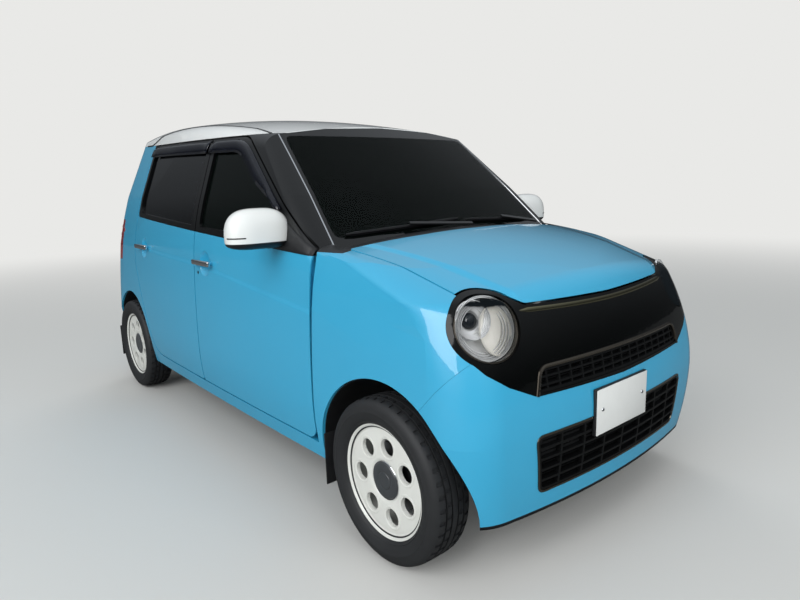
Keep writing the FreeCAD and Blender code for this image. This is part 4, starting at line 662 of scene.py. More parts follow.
@dataclass
class Wheels:
    """Pressed steel wheels with round holes, grey caps and tyres with a cut tread."""

    steps: int = 126
    hub_steps: int = 72
    hole_steps: int = 36
    holes: int = 7
    first_hole: float = math.radians(132.0)
    hole_circle: float = 0.122
    hole_radius: float = 0.0310
    shoulder_cut: float = 0.0045
    rib_cut: float = 0.0035

    def hub_turn(self, end: int, side: Side) -> Matrix:
        """Return the move of a wheel from its own frame, +Z outboard, into the car's."""
        place = Matrix.Translation((end * AXLE_X, side.value * WHEEL_Y, AXLE_Z))
        return place @ Matrix.Rotation(-side.value * math.pi / 2, 4, "X")

    def hole_middles(self) -> list[Pair]:
        """Return the middles of the holes on the wheel's face."""
        angles = [self.first_hole - number * 2 * math.pi / self.holes for number in range(self.holes)]
        return [(self.hole_circle * math.cos(angle), self.hole_circle * math.sin(angle)) for angle in angles]

    def flange(self) -> BMesh:
        """Return the rim with its rolled outer edge."""
        profile = [(0.1770, -0.040), (0.1790, 0.030), (0.1815, 0.047), (0.1850, 0.0535), (0.1885, 0.0570),
                   (0.1925, 0.0590), (0.1945, 0.0575), (0.1935, 0.0545)]
        return spun(profile, self.steps)

    def face(self) -> BMesh:
        """Return the dished face with its centre step, its holes still to cut."""
        profile = [(0.0550, 0.0380), (0.0620, 0.0385), (0.0655, 0.0410), (0.0690, 0.0455), (0.0730, 0.0475),
                   (0.0800, 0.0482), (0.1100, 0.0487), (0.1500, 0.0480), (0.1650, 0.0475), (0.1700, 0.0470),
                   (0.1730, 0.0462), (0.1752, 0.0458), (0.1775, 0.0463), (0.1800, 0.0478), (0.1825, 0.0502)]
        return spun(profile, self.steps)

    def cutters(self) -> BMesh:
        """Return the round cutters of the holes."""
        made = bmesh.new()
        for x, y in self.hole_middles():
            place = Matrix.Translation((x, y, 0.045))
            bmesh.ops.create_cone(made, cap_ends=True, segments=self.hole_steps, radius1=self.hole_radius,
                                  radius2=self.hole_radius, depth=0.08, matrix=place)
        return made

    def lips(self) -> BMesh:
        """Return the rolled-in lips that line the holes."""
        r = self.hole_radius
        profile = [(r + 0.0110, 0.0480), (r + 0.0085, 0.0497), (r + 0.0060, 0.0502), (r + 0.0035, 0.0492),
                   (r + 0.0012, 0.0462), (r, 0.0420), (r - 0.0008, 0.0350), (r + 0.0008, 0.0342)]
        parts = []
        for x, y in self.hole_middles():
            ring = spun(profile, self.hole_steps)
            bmesh.ops.translate(ring, vec=(x, y, 0.0), verts=ring.verts)
            parts.append(ring)
        return joined(parts)

    def tyre(self) -> BMesh:
        """Return the tyre: bulged walls, grooved crown, and notches cut in its shoulders and ribs."""
        half = [(0.2785, 0.0080), (0.2783, 0.0090), (0.2720, 0.0095), (0.2720, 0.0155), (0.2783, 0.0160),
                (0.2780, 0.0320), (0.2718, 0.0326), (0.2718, 0.0390), (0.2776, 0.0396), (0.2765, 0.0500),
                (0.2740, 0.0590), (0.2700, 0.0655), (0.2640, 0.0705), (0.2560, 0.0745), (0.2470, 0.0768),
                (0.2380, 0.0775), (0.2365, 0.0782), (0.2345, 0.0774), (0.2200, 0.0750), (0.2080, 0.0690),
                (0.2040, 0.0665), (0.2025, 0.0675), (0.2000, 0.0655), (0.1955, 0.0600), (0.1890, 0.0555),
                (0.1800, 0.0500)]
        profile = [(radius, -height) for radius, height in reversed(half)] + half
        made = spun(profile, self.steps)
        shoulders = []
        ribs = []
        for face in made.faces:
            spot = face.calc_center_median()
            radius = math.hypot(spot.x, spot.y)
            degrees = math.degrees(math.atan2(spot.y, spot.x)) % 360.0
            step = round(degrees * self.steps / 360.0 - 0.5)
            on_shoulder = radius > 0.2735 and 0.0396 < abs(spot.z) < 0.0600
            on_rib = radius > 0.2770 and 0.0160 < abs(spot.z) < 0.0320
            if on_shoulder and step % 3 == 0:
                shoulders.append(face)
            elif on_rib and step % 3 == 1:
                ribs.append(face)
        for group, depth in ((shoulders, self.shoulder_cut), (ribs, self.rib_cut)):
            cut = bmesh.ops.extrude_face_region(made, geom=group)
            for vert in [item for item in cut["geom"] if isinstance(item, BMVert)]:
                shrink = 1.0 - depth / math.hypot(vert.co.x, vert.co.y)
                vert.co.x *= shrink
                vert.co.y *= shrink
            bmesh.ops.delete(made, geom=group, context="FACES_ONLY")
        return made

    def dress(self) -> None:
        """Build the four wheels and tyres and hide the plain ones."""
        cap = [(0.0, 0.0508), (0.0280, 0.0505), (0.0300, 0.0490), (0.0330, 0.0505), (0.0520, 0.0500),
               (0.0590, 0.0480), (0.0625, 0.0440), (0.0630, 0.0390)]
        ring = [(0.0630, 0.0400), (0.0632, 0.0445), (0.0645, 0.0452), (0.0655, 0.0440), (0.0655, 0.0405)]
        disc = [(0.0, 0.020), (0.060, 0.020), (0.062, 0.012), (0.118, 0.010), (0.118, -0.006), (0.0, -0.006)]
        for end_word, end in (("front", 1), ("rear", -1)):
            for side in Side:
                tag = f"{end_word}_{side.word}"
                body = f"wheel_{tag}"
                turn = self.hub_turn(end, side)
                enamel = (WHEEL_ENAMEL, "white_enamel", body)
                rim = Piece(f"rim_{tag}", self.flange(), *enamel).place(turn)
                face = Piece(f"wheel_face_{tag}", self.face(), *enamel).place(turn)
                cutter = Piece(f"cutter_{tag}", self.cutters(), *enamel).place(turn)
                cut = face.modifiers.new("holes", "BOOLEAN")
                cut.object = cutter
                cut.operation = "DIFFERENCE"
                cut.solver = "FAST"
                baked(face)
                bpy.data.objects.remove(cutter)
                Piece(f"hole_lips_{tag}", self.lips(), *enamel, 60.0).place(turn)
                hub = spun(cap, self.hub_steps)
                Piece(f"centre_cap_{tag}", hub, CAP_GREY, "black_plastic", body).place(turn)
                Piece(f"cap_ring_{tag}", spun(ring, self.hub_steps), CHROME, "chrome", body).place(turn)
                steel = spun(disc, self.hub_steps)
                brake = Piece(f"brake_disc_{tag}", steel, BARE_STEEL, "bare_steel", body).place(turn)
                tyre = Piece(f"tyre_{tag}_dressed", self.tyre(), RUBBER, "tyre_rubber", body,
                             28.0).place(turn)
                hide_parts(f"wheel_{tag}")
                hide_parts(f"wheel_{tag}")
                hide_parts(f"tyre_{tag}")


@dataclass
class Lamps:
    """Round headlamps: projector in a ribbed silver sleeve outboard, cream reflector inboard."""

    steps: int = 72
    lens_steps: int = 48
    flutes: int = 4
    ribs: int = 5
    reflector_shift: Triple = (-0.036, 0.010, 0.0)
    projector_shift: Triple = (0.034, -0.030, 0.0)

    def turn(self) -> Matrix:
        """Return the move from the right lamp's frame, +Z out and +X outboard, into the car's."""
        out = Vector((math.cos(LAMP_TILT) * math.cos(LAMP_TOE), -math.cos(LAMP_TILT) * math.sin(LAMP_TOE),
                      math.sin(LAMP_TILT)))
        outboard = Vector((-math.sin(LAMP_TOE), -math.cos(LAMP_TOE), 0.0))
        down = out.cross(outboard).normalized()
        basis = Matrix((outboard, down, out)).transposed().to_4x4()
        return Matrix.Translation(LAMP_CENTRE) @ basis

    def fit(self, name: str, mesh: BMesh, finish: Finish | Pane, side: Side, slot: str = "chrome") -> None:
        """Set a piece into a lamp.

        Args:
            name: what the piece is called, without its side.
            mesh: its mesh in the right lamp's frame.
            finish: its material.
            side: the lamp's side; the left lamp is the right one mirrored.
            slot: its material slot.
        """
        Piece(f"{name}_{side.word}", mesh, finish, slot, "body").place(self.turn(), side is Side.LEFT)

    def sleeve(self) -> list[Pair]:
        """Return the profile of the projector's ribbed sleeve."""
        profile = [(0.0580, -0.070)]
        for rib in range(self.ribs):
            inward = rib * 0.0035
            deeper = rib * 0.004
            profile += [(0.0590 - inward, -0.030 - deeper), (0.0570 - inward, -0.030 - deeper),
                        (0.0565 - inward, -0.034 - deeper)]
        return profile + [(0.0340, -0.050), (0.0300, -0.052), (0.0260, -0.062)]

    def dress(self) -> None:
        """Build both lamps' insides."""
        bowl = [(0.0, -0.072), (0.040, -0.070), (0.070, -0.062), (0.088, -0.048), (0.0975, -0.026),
                (0.0985, -0.034)]
        scoop = [(0.0, -0.058), (0.020, -0.056), (0.040, -0.050), (0.058, -0.040), (0.0640, -0.031),
                 (0.0655, -0.034)]
        edge = [(0.0985, -0.032), (0.0960, -0.028), (0.0930, -0.033), (0.0900, -0.036), (0.0915, -0.040)]
        eye = [(0.0, -0.038), (0.010, -0.0395), (0.018, -0.044), (0.0235, -0.052), (0.0245, -0.060)]
        shift = Matrix.Translation(self.projector_shift)
        for side in Side:
            self.fit("lamp_bowl", spun(bowl, self.steps), LAMP_SILVER, side)
            reflector = spun(scoop, self.steps)
            bmesh.ops.scale(reflector, vec=(0.84, 1.16, 1.0), verts=reflector.verts)
            bmesh.ops.translate(reflector, vec=self.reflector_shift, verts=reflector.verts)
            self.fit("lamp_reflector", reflector, CREAM_REFLECTOR, side)
            for number in range(self.flutes):
                radius = 0.093 - 0.0075 * number
                height = -0.032 - 0.004 * number
                hoop = [(radius + 0.0016, height - 0.003), (radius + 0.0010, height),
                        (radius - 0.0010, height), (radius - 0.0016, height - 0.003)]
                self.fit(f"lamp_flute_{number}", spun(hoop, self.steps), LAMP_SILVER, side)
            self.fit("lamp_edge_ring", spun(edge, self.steps), LAMP_SILVER, side)
            holder = spun(self.sleeve(), self.steps)
            bmesh.ops.transform(holder, matrix=shift, verts=holder.verts)
            self.fit("lamp_projector_sleeve", holder, LAMP_SILVER, side)
            lens = spun(eye, self.lens_steps)
            bmesh.ops.transform(lens, matrix=shift, verts=lens.verts)
            self.fit("lamp_projector_lens", lens, PROJECTOR_GLASS, side, "clear_glass")


@dataclass
class NoseTrim:
    """Chrome strip, grille slats and frames, and the blank plate on the nose."""

    nose: Outside
    plate_y: float = -0.026
    plate_z: float = 0.490

    def along(self, points: list[Pair]) -> list[Station]:
        """Lay (y, z) points on the nose, with the way out turned more towards the front."""
        stations = []
        for y, z in points:
            spot, normal = self.nose.ahead(y, z)
            stations.append((spot, Vector((max(0.6, normal.x), normal.y * 0.6, normal.z * 0.6)).normalized()))
        return stations

    def slats(self, name: str, heights: Pair, count: int, halves: Pair) -> None:
        """Fill a grille with fine slats behind its bars.

        Args:
            name: what the piece is called.
            heights: the opening's lower and upper edge.
            count: how many slats.
            halves: the opening's half width at those edges.
        """
        parts = []
        edge = 0.012
        setback = 0.012
        for number in range(count):
            share = (number + 0.5) / count
            half = halves[0] + (halves[1] - halves[0]) * share
            z = heights[0] + (heights[1] - heights[0]) * share
            stations = []
            for step in range(25):
                y = half * (step / 12.0 - 1.0)
                low = self.nose.ahead(y, heights[0] - edge)[0].x
                high = self.nose.ahead(y, heights[1] + edge)[0].x
                spot = Vector((low + (high - low) * share - setback, y, z))
                stations.append((spot, Vector((1.0, 0.0, 0.0))))
            parts.append(sweep(stations, band_section(0.0020, 0.0014, 0.012, 0.0)))
        Piece(name, joined(parts), GRILLE_BLACK, "gloss_black", "body").place()

    def plate(self) -> None:
        """Stand the blank plate on its backing, with two screws."""
        face_x = self.nose.ahead(0.16, 0.50)[0].x + 0.006
        plate = slab((0.0035, 0.306, 0.153), Vector((face_x + 0.004, self.plate_y, self.plate_z)), 0.0015, 2)
        Piece("number_plate_blank", plate, PLATE_WHITE, "white_paint", "body").place()
        holder = slab((0.012, 0.311, 0.158), Vector((face_x - 0.004, self.plate_y, self.plate_z)), 0.003, 2)
        Piece("number_plate_backing", holder, GRAINED_BLACK, "black_plastic", "body").place()
        for side in Side:
            screw = spun([(0.0, 0.0045), (0.004, 0.0042), (0.0062, 0.0025), (0.0068, 0.0)], 24)
            spot = Matrix.Translation((face_x + 0.0055, self.plate_y + side.value * 0.122, 0.497))
            turn = spot @ Matrix.Rotation(math.pi / 2, 4, "Y")
            Piece(f"plate_screw_{side.word}", screw, CHROME, "chrome", "body").place(turn)

    def dress(self) -> None:
        """Build the strip, the slats, the frames and the plate."""
        curve = [(y / 100.0, 0.8355 + 0.012 * abs(y / 42.0) ** 1.6) for y in range(-42, 43, 3)]
        strip = sweep(self.along(curve), band_section(0.0085, 0.0070, 0.002, 0.0015, 0.0030), taper=0.2)
        Piece("bonnet_edge_strip", strip, BRONZE_STRIP, "chrome", "body").place()
        self.slats("upper_grille_slats", (0.606, 0.672), 7, (0.424, 0.400))
        self.slats("lower_grille_slats", (0.296, 0.468), 14, (0.412, 0.436))
        arch = rounded([(-0.428, 0.600, 0.0), (-0.402, 0.682, 0.030), (0.402, 0.682, 0.030),
                        (0.428, 0.600, 0.0)], False)
        frame = sweep(self.along(between(arch, 0.03)), band_section(0.0065, 0.0055, 0.003, 0.003, 0.0050))
        Piece("upper_grille_frame", frame, SMOKED_CHROME, "chrome", "body").place()
        loop = rounded([(-0.441, 0.477, 0.030), (0.441, 0.477, 0.030), (0.415, 0.287, 0.026),
                        (-0.415, 0.287, 0.026)], True)
        loop = between(loop, 0.03)[:-1]
        surround = sweep(self.along(loop), band_section(0.0045, 0.0035, 0.003, 0.0025), closed=True)
        Piece("lower_grille_frame", surround, SMOKED_CHROME, "chrome", "body").place()
        self.plate()


@dataclass
class SideTrim:
    """Handle covers, locks, mirror sails, visors, mirrors and mud flaps."""

    flank: Outside
    visor_drop: float = 0.062
    mirror_x: float = 0.650
    mirror_y: float = 0.7785
    flap_behind_axle: float = 0.330

    def handles(self) -> None:
        """Cover the handle bars with chrome."""
        for end_word, x, z in (("front", -0.012, 0.898), ("rear", -0.940, 0.918)):
            for side in Side:
                face = self.flank.beside(x, z, side)[0]
                bar = slab((0.190, 0.0170, 0.0260), Vector((x, face.y - side.value * 0.0065, z)), 0.0072, 4)
                Piece(f"handle_chrome_{end_word}_{side.word}", bar, CHROME, "chrome",
                      f"door_{end_word}_{side.word}").place()

    def keyholes(self) -> None:
        """Set a lock under the rear end of each front handle."""
        for side in Side:
            spot, out = self.flank.beside(-0.092, 0.846, side)
            turn = Matrix.Translation(spot) @ out.to_track_quat("Z", "Y").to_matrix().to_4x4()
            lock = spun([(0.0, 0.0022), (0.0055, 0.0020), (0.0075, 0.0008), (0.0080, -0.001)], 30)
            Piece(f"door_lock_{side.word}", lock, SATIN_BLACK, "black_plastic",
                  f"door_front_{side.word}").place(turn)

    def sails(self) -> None:
        """Cover the door's corner ahead of the window, where the mirror stands."""
        rear_x = 0.634
        for side in Side:
            rows = []
            for x in [rear_x + 0.0243 * step for step in range(11)]:
                low = belt(x) - 0.012
                high = max(low + 0.004, 1.128 - (x - rear_x) * 0.50)
                row = []
                for share in (0.0, 0.25, 0.5, 0.75, 1.0):
                    spot, out = self.flank.beside(x, low + (high - low) * share, side)
                    row.append(spot + out * 0.0022)
                rows.append(row)
            cover = Piece(f"mirror_sail_{side.word}", sheet(rows), GRAINED_BLACK, "black_plastic",
                          f"door_front_{side.word}", 60.0).place()
            thickened(cover, 0.0018)

    def visor_row(self, path: list[Pair], index: int, narrows: bool, side: Side) -> list[Vector]:
        """Return a visor's points from its upper edge down, at one point of its path.

        Args:
            path: the (x, z) points of its upper edge.
            index: which of them.
            narrows: whether the visor gets lower towards the path's end.
            side: the car's side.
        Returns:
            The points, standing off the glass.
        """
        x, z = path[index]
        last = len(path) - 1
        before = path[max(0, index - 1)]
        after = path[min(last, index + 1)]
        along = Vector((after[0] - before[0], after[1] - before[1])).normalized()
        down = Vector((along.y, -along.x))
        if down.y > 0:
            down = -down
        drop = self.visor_drop
        if narrows:
            drop = self.visor_drop * (1.0 - max(0.0, (index / last - 0.72) / 0.28) * 0.75)
        row = []
        for reach, lift in ((0.0, 0.0015), (0.30, 0.0110), (0.65, 0.0150), (1.0, 0.0160)):
            spot = self.flank.beside(x + down.x * drop * reach, z + down.y * drop * reach, side)[0]
            row.append(spot + Vector((0.0, side.value * lift, lift * 0.25)))
        return row

    def visors(self) -> None:
        """Build the smoked wind visors over the four door windows."""
        runs = {
            "front": [(-0.128, 1.458, 0.0), (0.212, 1.446, 0.10), (0.640, 1.150, 0.0)],
            "rear": [(-1.092, 1.490, 0.0), (-0.152, 1.459, 0.0)],
        }
        for end_word, corners in runs.items():
            path = between(rounded(corners, False), 0.04)
            for side in Side:
                rows = [self.visor_row(path, index, end_word == "front", side) for index in range(len(path))]
                visor = Piece(f"visor_{end_word}_{side.word}", sheet(rows), SMOKED_ACRYLIC, "clear_glass",
                              f"door_{end_word}_{side.word}", 60.0).place()
                thickened(visor, 0.0025)

    def mirror_cap(self, side: Side) -> BMesh:
        """Return a mirror's rounded housing, its back face recessed for the glass."""
        made = bmesh.new()
        bmesh.ops.create_uvsphere(made, u_segments=48, v_segments=28, radius=1.0)
        for vert in made.verts:
            powers = (0.80, 0.66, 0.80 if vert.co.z > 0 else 0.42)
            u, v, w = (math.copysign(abs(value) ** power, value) for value, power in zip(vert.co, powers))
            high = 0.101 if w > 0 else 0.049
            across = self.mirror_y + 0.1250 * v
            vert.co = Vector((self.mirror_x + 0.066 * u, side.value * across, 1.057 + high * w))
        cut = bmesh.ops.bisect_plane(made, geom=made.verts[:] + made.edges[:] + made.faces[:],
                                     plane_co=(0.607, 0, 0), plane_no=(-1, 0, 0), clear_outer=True)
        rim = [item for item in cut["geom_cut"] if isinstance(item, BMEdge)]
        inner = bmesh.ops.extrude_edge_only(made, edges=rim)["geom"]
        moved = [item for item in inner if isinstance(item, BMVert)]
        bmesh.ops.translate(made, vec=(0.012, 0, 0), verts=moved)
        bmesh.ops.contextual_create(made, geom=[item for item in inner if isinstance(item, BMEdge)])
        bmesh.ops.recalc_face_normals(made, faces=made.faces)
        return made

    def mirrors(self) -> None:
        """Build the mirror housings, their feet, slots and glass."""
        for side in Side:
            body = f"door_front_{side.word}"
            cap = Piece(f"mirror_cap_{side.word}", self.mirror_cap(side), MIRROR_PAINT, "white_paint",
                        body).place()
            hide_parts(f"mirror_{side.word}")
            foot = slab((0.050, 0.090, 0.030), Vector((0.655, side.value * 0.715, 1.022)), 0.010, 3)
            Piece(f"mirror_foot_{side.word}", foot, GRAINED_BLACK, "black_plastic", body).place()
            stations = [self.cap_point(side, step / 12) for step in range(13)]
            slot = sweep(stations, band_section(0.0020, 0.0020, 0.003, 0.0008))
            Piece(f"mirror_slot_{side.word}", slot, PIANO_BLACK, "gloss_black", body).place()
            glass = spun([(0.0, 0.0015), (1.0, 0.0015), (1.0, -0.0010)], 60)
            for vert in glass.verts:
                across, high = (math.copysign(abs(value) ** 0.72, value) for value in vert.co.xy)
                y = side.value * 0.779 + 0.104 * across
                vert.co = Vector((0.6170 - vert.co.z, y, 1.077 + 0.052 * high))
            Piece(f"mirror_glass_{side.word}", glass, CHROME, "chrome", body).place()

    def cap_point(self, side: Side, share: float) -> Station:
        """Return a point of the dark slot that runs round the cap's outer front, and the way out there."""
        angle = math.radians(4.0) * (1 - share) + math.radians(62.0) * share
        wide = math.cos(angle) ** 0.66
        deep = math.sin(angle) ** 0.80
        spot = Vector((self.mirror_x + 0.0662 * deep, side.value * (self.mirror_y + 0.1254 * wide), 1.0545))
        return spot, Vector((math.sin(angle), side.value * math.cos(angle), 0.0))

    def flaps(self) -> None:
        """Hang a mud flap behind each wheel."""
        for end_word, axle_x in (("front", AXLE_X), ("rear", -AXLE_X)):
            for side in Side:
                place = Vector((axle_x - self.flap_behind_axle, side.value * 0.640, 0.245))
                flap = slab((0.006, 0.150, 0.200), place, 0.0025, 2)
                Piece(f"mud_flap_{end_word}_{side.word}", flap, GRAINED_BLACK, "black_plastic",
                      "body").place()

    def dress(self) -> None:
        """Build all of it."""
        self.handles()
        self.keyholes()
        self.sails()
        self.visors()
        self.mirrors()
        self.flaps()


@dataclass
class GlassTrim:
    """Wipers, screen mouldings, roof ditches and the inner mirror."""

    screen: Outside
    roof: Outside
    tail: Outside
    blade_lift: float = 0.010
    arm_lift: float = 0.026

    def wiper(self, name: str, blade: list[Pair], foot: Pair) -> None:
        """Lay a wiper on the windscreen.

        Args:
            name: what the pieces are called.
            blade: the (y, z) ends of the blade.
            foot: the (y, z) place of its spindle.
        """
        path = raised([self.screen.ahead(y, z) for y, z in between(blade, 0.04)], self.blade_lift)
        rubber = sweep(path, band_section(0.0040, 0.0050, 0.009, 0.004, 0.008), taper=0.5)
        Piece(f"{name}_blade", rubber, GRAINED_BLACK, "black_plastic", "body").place()
        middle = ((blade[0][0] + blade[1][0]) / 2, (blade[0][1] + blade[1][1]) / 2)
        path = raised([self.screen.ahead(y, z) for y, z in between([foot, middle], 0.05)], self.arm_lift)
        arm = sweep(path, band_section(0.0075, 0.0060, 0.003, 0.004))
        Piece(f"{name}_arm", arm, SATIN_BLACK, "black_steel", "body").place()

    def dress(self) -> None:
        """Build all of it."""
        self.wiper("wiper_driver", [(-0.540, 1.045), (0.020, 1.072)], (0.060, 1.040))
        self.wiper("wiper_passenger", [(0.060, 1.066), (0.500, 1.048)], (0.520, 1.022))
        for side in Side:
            path = [self.screen.ahead(side.value * (0.613 - 0.079 * share - 0.006), 1.008 + 0.438 * share)
                    for share in [step / 14 for step in range(15)]]
            edge = sweep(path, band_section(0.0030, 0.0025, 0.002, 0.0018))
            Piece(f"screen_moulding_{side.word}", edge, CHROME, "chrome", "body").place()
            path = [self.roof.above(x, side.value * (0.505 + 0.030 * max(0.0, (x - 0.18) / 0.18)))
                    for x in [0.36 - 0.06 * step for step in range(29)]]
            ditch = sweep(path, band_section(0.0055, 0.0045, 0.002, 0.0014))
            Piece(f"roof_ditch_{side.word}", ditch, GRAINED_BLACK, "black_plastic", "body").place()
        mirror = slab((0.022, 0.230, 0.060), Vector((0.470, 0.0, 1.365)), 0.010, 3)
        Piece("inner_mirror", mirror, GRAINED_BLACK, "black_plastic", "body").place()
        ends = [(0.02, 1.165), (-0.300, 1.190)]
        path = raised([self.tail.behind(y, z) for y, z in between(ends, 0.04)], self.blade_lift)
        blade = sweep(path, band_section(0.0040, 0.0050, 0.009, 0.004), taper=0.5)
        Piece("rear_wiper_blade", blade, GRAINED_BLACK, "black_plastic", "tailgate").place()


@dataclass
class TailTrim:
    """Grip bar, stop lamp, reflectors and lamp rings of the back."""

    tail: Outside
    ring_y: float = 0.622
    ring_steps: int = 40

    def band(self, name: str, ends: Pair, z: float, section: list[Pair], finish: Finish, slot: str,
             body: str) -> None:
        """Lay a level band across the back.

        Args:
            name: what the piece is called.
            ends: where it starts and ends across the car.
            z: its height.
            section: its corners as (across, out).
            finish: its material.
            slot: its material slot.
            body: what it rides on.
        """
        path = [self.tail.behind(ends[0] + (ends[1] - ends[0]) * step / 16, z) for step in range(17)]
        Piece(name, sweep(path, section), finish, slot, body).place()

    def dress(self) -> None:
        """Build all of it."""
        grip = [(-0.018, -0.003), (-0.015, 0.010), (-0.004, 0.019), (0.008, 0.018), (0.017, 0.008),
                (0.018, -0.003)]
        self.band("tailgate_grip", (-0.230, 0.230), 0.955, grip, SKY_PAINT, "blue_paint", "tailgate")
        # Painted shadow: a strip of black plastic laid under the grip, where the grip's shade falls
        self.band("tailgate_grip_shadow_strip", (-0.215, 0.215), 0.930,
                  band_section(0.006, 0.005, 0.003, 0.004), GRAINED_BLACK, "black_plastic", "tailgate")
        self.band("high_stop_lamp", (-0.130, 0.130), 1.505, band_section(0.007, 0.006, 0.003, 0.003),
                  TAIL_RED, "red_lens", "tailgate")
        angles = [math.tau * step / self.ring_steps for step in range(self.ring_steps)]
        rings = ((0.985, 0.036, TAIL_RED), (0.865, 0.034, TAIL_AMBER))
        for side in Side:
            y = side.value
            self.band(f"bumper_reflector_{side.word}", (0.500 * y, 0.590 * y), 0.375,
                      band_section(0.013, 0.011, 0.003, 0.003), TAIL_RED, "red_lens", "body")
            for number, (z, radius, finish) in enumerate(rings):
                circle = [(self.ring_y * y + radius * math.cos(angle), z + radius * math.sin(angle))
                          for angle in angles]
                path = [self.tail.behind(*place) for place in circle]
                ring = sweep(path, band_section(0.006, 0.004, 0.002, 0.0022), closed=True)
                Piece(f"tail_lamp_ring_{number}_{side.word}", ring, finish, "red_lens", "body").place()


@dataclass
class Cabin:
    """Seats, steering wheel and what shows of the dashboard."""

    seat_y: float = 0.320
    bench_head_y: float = 0.300
    rim_radius: float = 0.178
    rim_half: float = 0.0145
    rim_corners: int = 12

    def cushion(self, name: str, size: Triple, centre: Triple, lean: float, crown: float,
                replaced: str) -> None:
        """Make a stuffed block with crowned faces and two sewn channels.

        Args:
            name: what it is called.
            size: its length, width and height before the crown.
            centre: its middle.
            lean: turn about the car's width, in degrees.
            crown: how far its faces swell.
            replaced: the frame node it stands for.
        """
        made = bmesh.new()
        bmesh.ops.create_cube(made, size=1.0)
        bmesh.ops.scale(made, vec=size, verts=made.verts)
        bmesh.ops.subdivide_edges(made, edges=made.edges[:], cuts=9, use_grid_fill=True)
        for vert in made.verts:
            u, v, w = (vert.co[k] / (size[k] / 2) for k in range(3))
            swell = [(1 - v * v) * (1 - w * w), (1 - u * u) * (1 - w * w), (1 - u * u) * (1 - v * v)]
            for k, value in enumerate((u, v, w)):
                if abs(value) > 0.999:
                    vert.co[k] += math.copysign(crown * max(0.0, swell[k]) ** 0.6, value)
            if abs(abs(v) - 0.6) < 0.05 and max(abs(u), abs(w)) > 0.999:
                vert.co *= 0.975
        turn = Matrix.Translation(centre) @ Matrix.Rotation(math.radians(lean), 4, "Y")
        bmesh.ops.transform(made, matrix=turn, verts=made.verts)
        pad = Piece(name, made, SEAT_CLOTH, "seat_cloth", "body", 180.0).place()
        smooth = pad.modifiers.new("soft", "SUBSURF")
        smooth.levels = 1
        smooth.render_levels = 1
        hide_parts(replaced)

    def seats(self) -> None:
        """Build the front seats and the rear bench."""
        for side in Side:
            tag = side.word
            y = side.value * self.seat_y
            head_y = side.value * self.bench_head_y
            self.cushion(f"seat_cushion_{tag}", (0.50, 0.46, 0.15), (0.005, y, 0.465), -3, 0.016,
                         "front_seats")
            self.cushion(f"seat_back_{tag}", (0.11, 0.43, 0.60), (-0.315, y, 0.775), -13, 0.016,
                         "front_seats")
            self.cushion(f"seat_head_{tag}", (0.075, 0.235, 0.160), (-0.388, y, 1.160), -5, 0.012,
                         "front_seats")
            self.cushion(f"bench_head_{tag}", (0.060, 0.215, 0.120), (-1.125, head_y, 1.130), -5, 0.010,
                         "rear_bench")
            base = slab((0.42, 0.40, 0.14), Vector((0.0, y, 0.312)), 0.02, 3)
            Piece(f"seat_base_{tag}", base, GRAINED_BLACK, "black_plastic", "body").place()
        self.cushion("bench_cushion", (0.44, 1.04, 0.13), (-0.800, 0.0, 0.505), 3, 0.014, "rear_bench")
        self.cushion("bench_back", (0.080, 1.00, 0.53), (-1.060, 0.0, 0.800), -12, 0.012, "rear_bench")

    def steering(self) -> None:
        """Build the steering wheel with its padded hub and spokes."""
        axis = Vector((-math.cos(COLUMN_TILT), 0.0, math.sin(COLUMN_TILT)))
        lean = Vector((0, 0, 1)).rotation_difference(axis).to_matrix().to_4x4()
        turn = Matrix.Translation(STEERING_CENTRE) @ lean
        angles = [math.tau * step / self.rim_corners for step in range(self.rim_corners)]
        section = [(self.rim_radius + self.rim_half * math.cos(angle), self.rim_half * math.sin(angle))
                   for angle in angles]
        rim = Piece("steering_rim", spun(section, 84, cap=True), GRAINED_BLACK, "black_plastic",
                    "steering_wheel").place(turn)
        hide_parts("steering_wheel")
        boss = spun([(0.0, 0.004), (0.040, 0.002), (0.060, -0.006), (0.068, -0.020), (0.060, -0.044),
                     (0.0, -0.044)], 60)
        Piece("steering_boss", boss, GRAINED_BLACK, "black_plastic", "steering_wheel").place(turn)
        for number, (degrees, width) in enumerate(((0.0, 0.040), (180.0, 0.040), (270.0, 0.030))):
            spoke = slab((0.125, width, 0.014), Vector((0.115, 0.0, -0.010)), 0.005, 3)
            spin = turn @ Matrix.Rotation(math.radians(degrees + 90.0), 4, "Z")
            Piece(f"steering_spoke_{number}", spoke, SATIN_BLACK, "black_plastic",
                  "steering_wheel").place(spin)

    def dash(self) -> None:
        """Add the instrument hood, screen and vents to the dashboard."""
        hood = slab((0.170, 0.300, 0.060), Vector((0.640, -0.330, 1.010)), 0.024, 4)
        Piece("instrument_hood", hood, GRAINED_BLACK, "black_plastic", "body").place()
        screen = slab((0.016, 0.190, 0.120), Vector((0.560, 0.0, 0.900)), 0.005, 3)
        Piece("centre_screen", screen, PIANO_BLACK, "gloss_black", "body").place()
        for number, y in enumerate((-0.560, -0.115, 0.115, 0.560)):
            vent = spun([(0.026, 0.0), (0.033, 0.004), (0.036, 0.0), (0.036, -0.01)], 36)
            turn = Matrix.Translation((0.566, y, 0.955)) @ Matrix.Rotation(-math.pi / 2, 4, "Y")
            Piece(f"air_vent_{number}", vent, SMOKED_CHROME, "chrome", "body").place(turn)

    def dress(self) -> None:
        """Build all of it."""
        self.seats()
        self.steering()
        self.dash()


